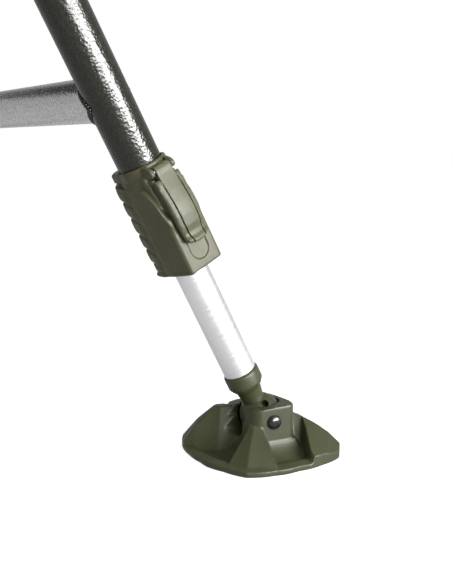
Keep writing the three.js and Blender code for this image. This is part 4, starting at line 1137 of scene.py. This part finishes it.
# ---- Recline plates
# Steel plate welded to the rail: it holds the back's pivot, and the knob's screw runs in its arc slot.
back_pivot = Vector(joints["back_recline"]["pos_m"]) * 1000
slot_radius, plate_rim, plate_half, slot_gap = 42, 12, 40, 4.7
plate_near = rail_span + plate_gap
plate_far = plate_near + plate_thickness
plate_foot = rail_place.z * 1000 - tube_radius * 0.7
x, z = back_pivot.x, back_pivot.z
outline = [(x - plate_half, plate_foot), (x + plate_half, plate_foot)]
outline += arc_points(slot_radius + plate_rim, 0, math.pi, 48, (x, z))
outline = eased(outline, 3, 3, loop=True)
first, last = -0.02, math.pi / 2 + math.radians(45) + 0.02
slot_edge = arc_points(slot_radius + slot_gap, first, last, 40, (x, z))
for centre_turn, start_turn in ((last, last), (first, first + math.pi)):
    centre = (x + slot_radius * math.cos(centre_turn), z + slot_radius * math.sin(centre_turn))
    slot_edge += arc_points(slot_gap, start_turn, start_turn + math.pi, 12, centre)[1:-1]
    if centre_turn == last:
        slot_edge += arc_points(slot_radius - slot_gap, last, first, 40, (x, z))
hands = ((1, "left"), (-1, "right"))
for hand, name in hands:
    near, far = hand * (plate_near - 2), hand * (plate_far + 2)
    cuts = [slab(slot_edge, near, far), bar((x, near, z), (x, far, z), rivet_hole)]
    fit_painted(plate(outline, hand * plate_near, hand * plate_far, cuts=cuts), "recline_plate_" + name,
                "cut", in_millimetres, "seat_frame")

# ---- Back frame
# Two uprights bored for pivot and knob, a hoop butted on their tops and a thinner low bar welded
# between them, all painted as the legs are.
back_up = Vector((-math.sin(math.radians(20)), 0, math.cos(math.radians(20))))
back_ahead = y_way.cross(back_up)
back_place = frame_of(back_ahead, y_way, back_up, back_pivot / 1000)
back_foot, back_straight, back_height, butt_gap, low_bar_rise, low_bar_radius = -14, 440, 560, 0.3, 20, 10
for hand, name in hands:
    body = turned(eased([(tube_radius, back_foot), (tube_radius, back_straight),
                         (tube_radius - tube_wall, back_straight), (tube_radius - tube_wall, back_foot)],
                        0.3, 2, loop=True), 64, loop=True)
    body.transform(Matrix.Translation((0, hand * rail_span, 0)))
    holes = [bar((0, hand * rail_span - 25, rise), (0, hand * rail_span + 25, rise), rivet_hole)
             for rise in (0, slot_radius)]
    fit_painted(tidy(carved(body, cuts=holes)), "back_upright_" + name, "painted", back_place, "back_frame")
fit_painted(hoop(back_height - back_straight - butt_gap), "back_top_hoop", "painted",
            back_place @ Matrix.Translation((0, 0, back_straight + butt_gap)), "back_frame")
place = back_place @ Matrix.Translation((0, 0, low_bar_rise))
fit_painted(cross_bar(low_bar_radius), "back_low_bar", "painted", place, "back_frame")
bar_welds(place, low_bar_radius, 0.0014, "back_low_bar_welds", "back_frame")

# ---- Back pivot rivets and knob screws
# Steel, with low domed heads inside the uprights; the rivet is headed outside the plate, and the
# screw ends in the knob.
screw_inner = rail_span - tube_radius - 1.2
knob_gap, screw_in_knob = 1, 10.25
rivet_reach = plate_far + 0.3 - screw_inner
screw_reach = plate_far + knob_gap + screw_in_knob - screw_inner
for hand, name in hands:
    place = back_place @ Matrix.Translation((0, hand * screw_inner, 0))
    turn = Matrix.Rotation(-hand * math.pi / 2, 4, "X")
    rivet = headed([(shank, 0), (shank, rivet_reach)], 0, rivet_reach)
    fit_node(rivet, "back_pivot_rivet_" + name, "set", place @ turn, zinc_steel, "back_frame", "steel")
    screw = headed([(shank, 0), (shank, screw_reach - 0.5), (shank - 0.5, screw_reach), (0, screw_reach)],
                   0)
    fit_node(screw, "knob_screw_" + name, "turned", place @ Matrix.Translation((0, 0, slot_radius)) @ turn,
             zinc_steel, "back_frame", "steel")

# ---- Recline knobs
# Black moulded knobs with five finger lobes, a dished face and a small raised boss, blind bored for
# the screw.
knob_near, knob_radius = plate_far + knob_gap, 18
turns = np.linspace(0, 2 * math.pi, 150, endpoint=False)
lobed = knob_radius * (1 - 0.12 * (1 - np.cos(5 * turns)))
# Height and share of the radius, from the foot over the rim to the dished face and its boss
levels = [(0, 0.94), (0.7, 0.985), (1.6, 1), (9.5, 1), (12.2, 0.985), (14.0, 0.94), (14.8, 0.86),
          (15, 0.78), (14.6, 0.7), (13.6, 0.6), (13.1, 0.48), (13.2, 0.42), (14.2, 0.40), (14.6, 0.36),
          (14.8, 0.2)]
rows = []
for level, share in levels:
    reach = share * (lobed if share > 0.5 else knob_radius * 0.9)
    rows.append(np.column_stack([reach * np.cos(turns), reach * np.sin(turns), np.full(len(turns), level)]))
screw_room = bar((0, 0, -1), (0, 0, screw_in_knob + 1), rivet_hole)
knob = carved(skinned(rows + [[(0, 0, 14.9)]]), cuts=[screw_room])
tidy(knob, 40)
for hand, name in hands:
    place = back_place @ Matrix.Translation((0, hand * knob_near, slot_radius))
    fit_node(knob, "recline_knob_" + name, "moulded", place @ Matrix.Rotation(-hand * math.pi / 2, 4, "X"),
             black_plastic, name + "_knob", "black_plastic")

# ---- Cushions
# Foam in a sewn cover of heavy woven polyester: five stuffed channels across each pad, stitched down
# between, with a piped edge. The pads hang on the tubes by their rims.
cover_dark, cover_pale = (0.030, 0.033, 0.018), (0.052, 0.056, 0.032)
woven_cover, shader, nodes, links = finish_of("woven_cover", cover_dark, 0.85, 0.0, 0.25)
shader.inputs["Sheen Weight"].default_value = 0.25
shader.inputs["Sheen Roughness"].default_value = 0.4
cloth_place = nodes.new("ShaderNodeAttribute")
cloth_place.attribute_name = "cloth"
thread_pitch = 0.0016
weave = []
for axis in ("X", "Y"):
    parts = nodes.new("ShaderNodeSeparateXYZ")
    links.new(cloth_place.outputs["Vector"], parts.inputs[0])
    run = maths(nodes, links, "MULTIPLY", parts.outputs[axis], 2 * math.pi / thread_pitch)
    weave.append(maths(nodes, links, "SINE", run))
threads = maths(nodes, links, "MULTIPLY", *weave)
patches, grain = grain_in(nodes, 9, 420)
mixed = maths(nodes, links, "MULTIPLY_ADD", threads, 0.12, patches)
speckled = maths(nodes, links, "MULTIPLY_ADD", grain, 0.35, mixed)
tone(nodes, links, speckled, cover_dark, cover_pale, shader.inputs["Base Color"], 0.4, 0.95)
tone(nodes, links, grain, 0.72, 0.95, shader.inputs["Roughness"])
relief(nodes, links, threads, shader, 0.35, 0.0004)

pale_thread, shader, nodes, links = finish_of("pale_thread", (0.10, 0.105, 0.07), 0.8)
_, grain = grain_in(nodes, grain_scale=3000)
tone(nodes, links, grain, (0.085, 0.09, 0.058), (0.14, 0.145, 0.10), shader.inputs["Base Color"])
relief(nodes, links, grain, shader, 0.3, 0.0001)

pad_half, pad_corner, pad_channels = rail_span + 11, corner_radius + 10, 5
flap_base, flap_rise, pad_drop, middle_half = tube_radius + 0.8, 26, 4, rail_span - tube_radius - 2.5
seam_depth, seam_width = 8.0, 7.5


def pad_outline(u, length):
    """How far the pad's half width is drawn in towards its far end, as a share"""
    past = np.clip((u - (length - pad_corner)) / pad_corner, 0, 1)
    return 1 - pad_corner / pad_half * (1 - np.sqrt(np.clip(1 - past ** 2, 0, 1)))


def stuffed(length, straight, crown):
    """The pad before it is blown out: a low closed form, a little smaller than its place"""
    inset, rise = 3.5, flap_rise - 4
    round_end = length - inset - (pad_corner - inset) * (1 - np.sin(np.linspace(0, math.pi / 2, 14)[1:]))
    spots_u = np.concatenate([np.linspace(inset, length - pad_corner, 40), round_end])
    spots_y = np.linspace(-1, 1, 56)
    u, share = np.meshgrid(spots_u, spots_y, indexing="ij")
    y = share * (pad_half * pad_outline(u, length) - inset)
    along, aside = 2 * u / length - 1, y / pad_half
    fade = (1 - np.abs(along) ** 10) * (1 - np.abs(share) ** 10)
    top = flap_base + 9 + fade * (rise - 9 + crown * 0.8 * (1 - along ** 2) * (1 - aside ** 2))
    inside = (np.abs(y) < middle_half - 2) & (u < straight - 6)
    bottom = np.where(inside, pad_drop + 1.0, flap_base + 0.6)
    count = len(spots_y)
    points = [point for surface in (top, bottom) for point in zip(u.ravel(), y.ravel(), surface.ravel())]
    layer = len(spots_u) * count
    faces = []
    for i in range(len(spots_u) - 1):
        for k in range(count - 1):
            a, b, c, d = i * count + k, (i + 1) * count + k, (i + 1) * count + k + 1, i * count + k + 1
            faces += [(a, b, c, d), (layer + d, layer + c, layer + b, layer + a)]
    rim = [*range(count)] + [(i + 1) * count - 1 for i in range(1, len(spots_u))]
    rim += [layer - 1 - k for k in range(1, count)] + [i * count for i in range(len(spots_u) - 2, 0, -1)]
    faces += [(rim[(i + 1) % len(rim)], rim[i], layer + rim[i], layer + rim[(i + 1) % len(rim)])
              for i in range(len(rim))]
    mesh = bpy.data.meshes.new("stuffed")
    mesh.from_pydata(points, [], faces)
    mesh.transform(in_millimetres)
    return tidy(mesh)


def points_of(mesh, kind="co"):
    """The places of a mesh's points, or their normals"""
    values = np.zeros(len(mesh.vertices) * 3)
    mesh.vertices.foreach_get(kind, values)
    return values.reshape(-1, 3)


def note_cloth(mesh):
    """Keeps each point's place on its pad, in metres, for the weave"""
    places = (points_of(mesh) * 0.001).ravel()
    mesh.attributes.new("cloth", "FLOAT_VECTOR", "POINT").data.foreach_set("vector", places)


filling_pressure, most_swell = 4, 0.006


def blown(mesh):
    """The pad's skin after its filling has swelled it, no point moving further than the most, in metres"""
    piece = link(mesh, "blown")
    remesh = piece.modifiers.new("even", "REMESH")
    remesh.mode = "VOXEL"
    remesh.voxel_size = 0.0055
    even = settled(piece)
    before = points_of(even)
    piece = link(even, "blown")
    cloth = piece.modifiers.new("cloth", "CLOTH")
    cloth.settings.quality = 5
    cloth.settings.use_pressure = True
    cloth.settings.uniform_pressure_force = filling_pressure
    cloth.settings.tension_stiffness = cloth.settings.compression_stiffness = 18
    cloth.settings.effector_weights.gravity = 0
    cloth.point_cache.frame_start = 1
    cloth.point_cache.frame_end = 20
    for step in range(1, 21):
        bpy.context.scene.frame_set(step)
    swelled = bpy.data.meshes.new_from_object(piece.evaluated_get(bpy.context.evaluated_depsgraph_get()))
    after = points_of(swelled)
    bpy.context.scene.frame_set(1)
    bpy.data.objects.remove(piece)
    move = after - before
    reach = np.linalg.norm(move, axis=1, keepdims=True)
    after = before + move * np.minimum(1, most_swell / np.maximum(reach, 1e-9))
    swelled.vertices.foreach_set("co", after.ravel())
    swelled.update()
    return swelled


def sewn(mesh, length, straight, crown):
    """Presses the stitched channels in, draws the sides in at them, and keeps the pad off its frame"""
    piece = link(mesh, "sewn")
    finer = piece.modifiers.new("finer", "SUBSURF")
    finer.levels = finer.render_levels = 1
    mesh = settled(piece)
    place = points_of(mesh) * 1000
    up = points_of(mesh, "normal")[:, 2]
    u, y, z = place.T.copy()
    share = np.abs(y) / (pad_half * pad_outline(u, length))
    face = np.clip((z - flap_base - 4) / 10, 0, 1) * np.clip((up + 0.1) * 2, 0, 1)
    for k in range(1, pad_channels):
        seam = length * k / pad_channels
        gap = np.abs(u - seam)
        groove = np.exp(-(gap / seam_width) ** 1.3)
        # Puckers fan out from the stitches, stronger close to them
        pucker = 0.55 * np.sin(y / 5.6 + k) * np.sin(y / 13.1 + 2.1 * k) * np.exp(-(gap / 15) ** 2)
        z -= face * (seam_depth * groove + pucker) * np.clip((1.0 - share) / 0.03, 0.25, 1)
        y -= np.sign(y) * 2.6 * groove * np.clip((share - 0.9) / 0.1, 0, 1)
        u -= 0.4 * np.sign(u - seam) * groove * face
    z += face * 0.35 * np.sin(u / 21 + 1.7 * np.sin(y / 47)) * np.sin(y / 33 + 0.8)
    drop = z < flap_base + 0.4
    inside = (np.abs(y) < middle_half + 0.5) & (u < straight - 3.5)
    z = np.where(drop & ~inside, np.maximum(z, flap_base + 0.2), np.maximum(z, pad_drop + 0.2))
    low = z < flap_base - 0.4
    y = np.where(low, np.clip(y, -middle_half, middle_half), y)
    u = np.where(low, np.minimum(u, straight - 4.5), u)
    u = np.clip(u, -4, length + 4)
    y = np.clip(y, -pad_half - 4, pad_half + 4)
    z = np.minimum(z, flap_base + flap_rise + crown + 3)
    mesh.vertices.foreach_set("co", np.column_stack([u, y, z]).ravel())
    note_cloth(mesh)
    mesh.update()
    mesh.shade_smooth()
    return mesh


def stitch_thread(nodes, links, ins, spread):
    """One stitch: a ball drawn out along the seam"""
    thread = nodes.new("GeometryNodeMeshUVSphere")
    thread.inputs["Segments"].default_value = 6
    thread.inputs["Rings"].default_value = 5
    thread.inputs["Radius"].default_value = 0.5
    shape = nodes.new("ShaderNodeCombineXYZ")
    for axis, label in enumerate(("Thickness", "Thickness", "Length")):
        links.new(ins.outputs[label], shape.inputs[axis])
    links.new(shape.outputs[0], spread.inputs["Scale"])
    return thread.outputs["Mesh"]


stitch_row = row_tree("stitch_row", {"Pitch": 0.006, "Length": 0.004, "Thickness": 0.0006}, stitch_thread)


def dress_pad(pad, length, place, name, body):
    """Sets the pad in its place with its rows of stitches and its piping"""
    surface = BVHTree.FromPolygons([point.co for point in pad.vertices],
                                   [tuple(face.vertices) for face in pad.polygons])
    points, edges = [], []
    for k in range(1, pad_channels):
        row = []
        for y in np.arange(-pad_half + 5, pad_half - 4.9, 3):
            hit = surface.ray_cast(Vector((length * k / pad_channels, y, 90)), -z_way)[0]
            if hit:
                row.append(hit + z_way * 0.15)
        first = len(points)
        points += row
        edges += [(first + i, first + i + 1) for i in range(len(row) - 1)]
    mesh = bpy.data.meshes.new(name + "_rows")
    mesh.from_pydata(points, edges, [])
    mesh.transform(place)
    run_row(stitch_row, mesh, {"Pitch": 0.0058, "Length": 0.0044, "Thickness": 0.0011}, pale_thread,
            name + "_stitches", body)
    # One piping follows the pad's widest line, and one closes its lower edge on the tube
    for label, height, lift in (("_piping", flap_base + 11, 0), ("_lower_piping", flap_base + 3.4, -2.0)):
        loop = []
        for turn in np.linspace(0, 2 * math.pi, 420, endpoint=False):
            way = Vector((math.cos(turn), math.sin(turn), 0))
            start = Vector((length / 2, 0, height)) + way * 460
            hit = surface.ray_cast(start, -way)[0]
            if hit:
                loop.append(np.array(hit + z_way * lift))
        loop = np.array(loop)
        for _ in range(3):
            loop = (np.roll(loop, 1, 0) + loop * 2 + np.roll(loop, -1, 0)) / 4
        rows = []
        for i, point in enumerate(loop):
            ahead = loop[(i + 1) % len(loop)] - loop[i - 1]
            ahead /= np.linalg.norm(ahead)
            outward = np.array([ahead[1], -ahead[0], 0])
            rows.append([point + 1.9 * (outward * math.cos(t) + np.array([0, 0, 1]) * math.sin(t))
                         for t in np.linspace(0, 2 * math.pi, 12, endpoint=False)])
        piping = skinned(rows, loop=True)
        note_cloth(piping)
        piping.shade_smooth()
        piping.transform(place)
        piping.materials.append(woven_cover)
        piece = link(piping, name + label)
        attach(piece, body)
    fit_node(pad, name, "cover", place, woven_cover, body, "fabric")


pad_start, pad_overhang, hoop_reach, hoop_straight = 64, 10, 262, 205.4
pivot_reach = 224
seat_place = frame_of(x_way, y_way, z_way, Vector((back_pivot.x / 1000, 0, rail_place.z)))
back_pad_place = frame_of(back_up, -y_way, back_ahead, back_pivot / 1000 + back_up * pad_start * 0.001)
pads = [("seat_pad", "seat_frame", pivot_reach + hoop_reach + pad_overhang, pivot_reach + hoop_straight, 9,
         seat_place),
        ("back_pad", "back_frame", back_height + pad_overhang - pad_start, back_straight - pad_start, 7,
         back_pad_place)]
for name, body, length, straight, crown, place in pads:
    pad = sewn(blown(stuffed(length, straight, crown)), length, straight, crown)
    dress_pad(pad, length, place, name, body)
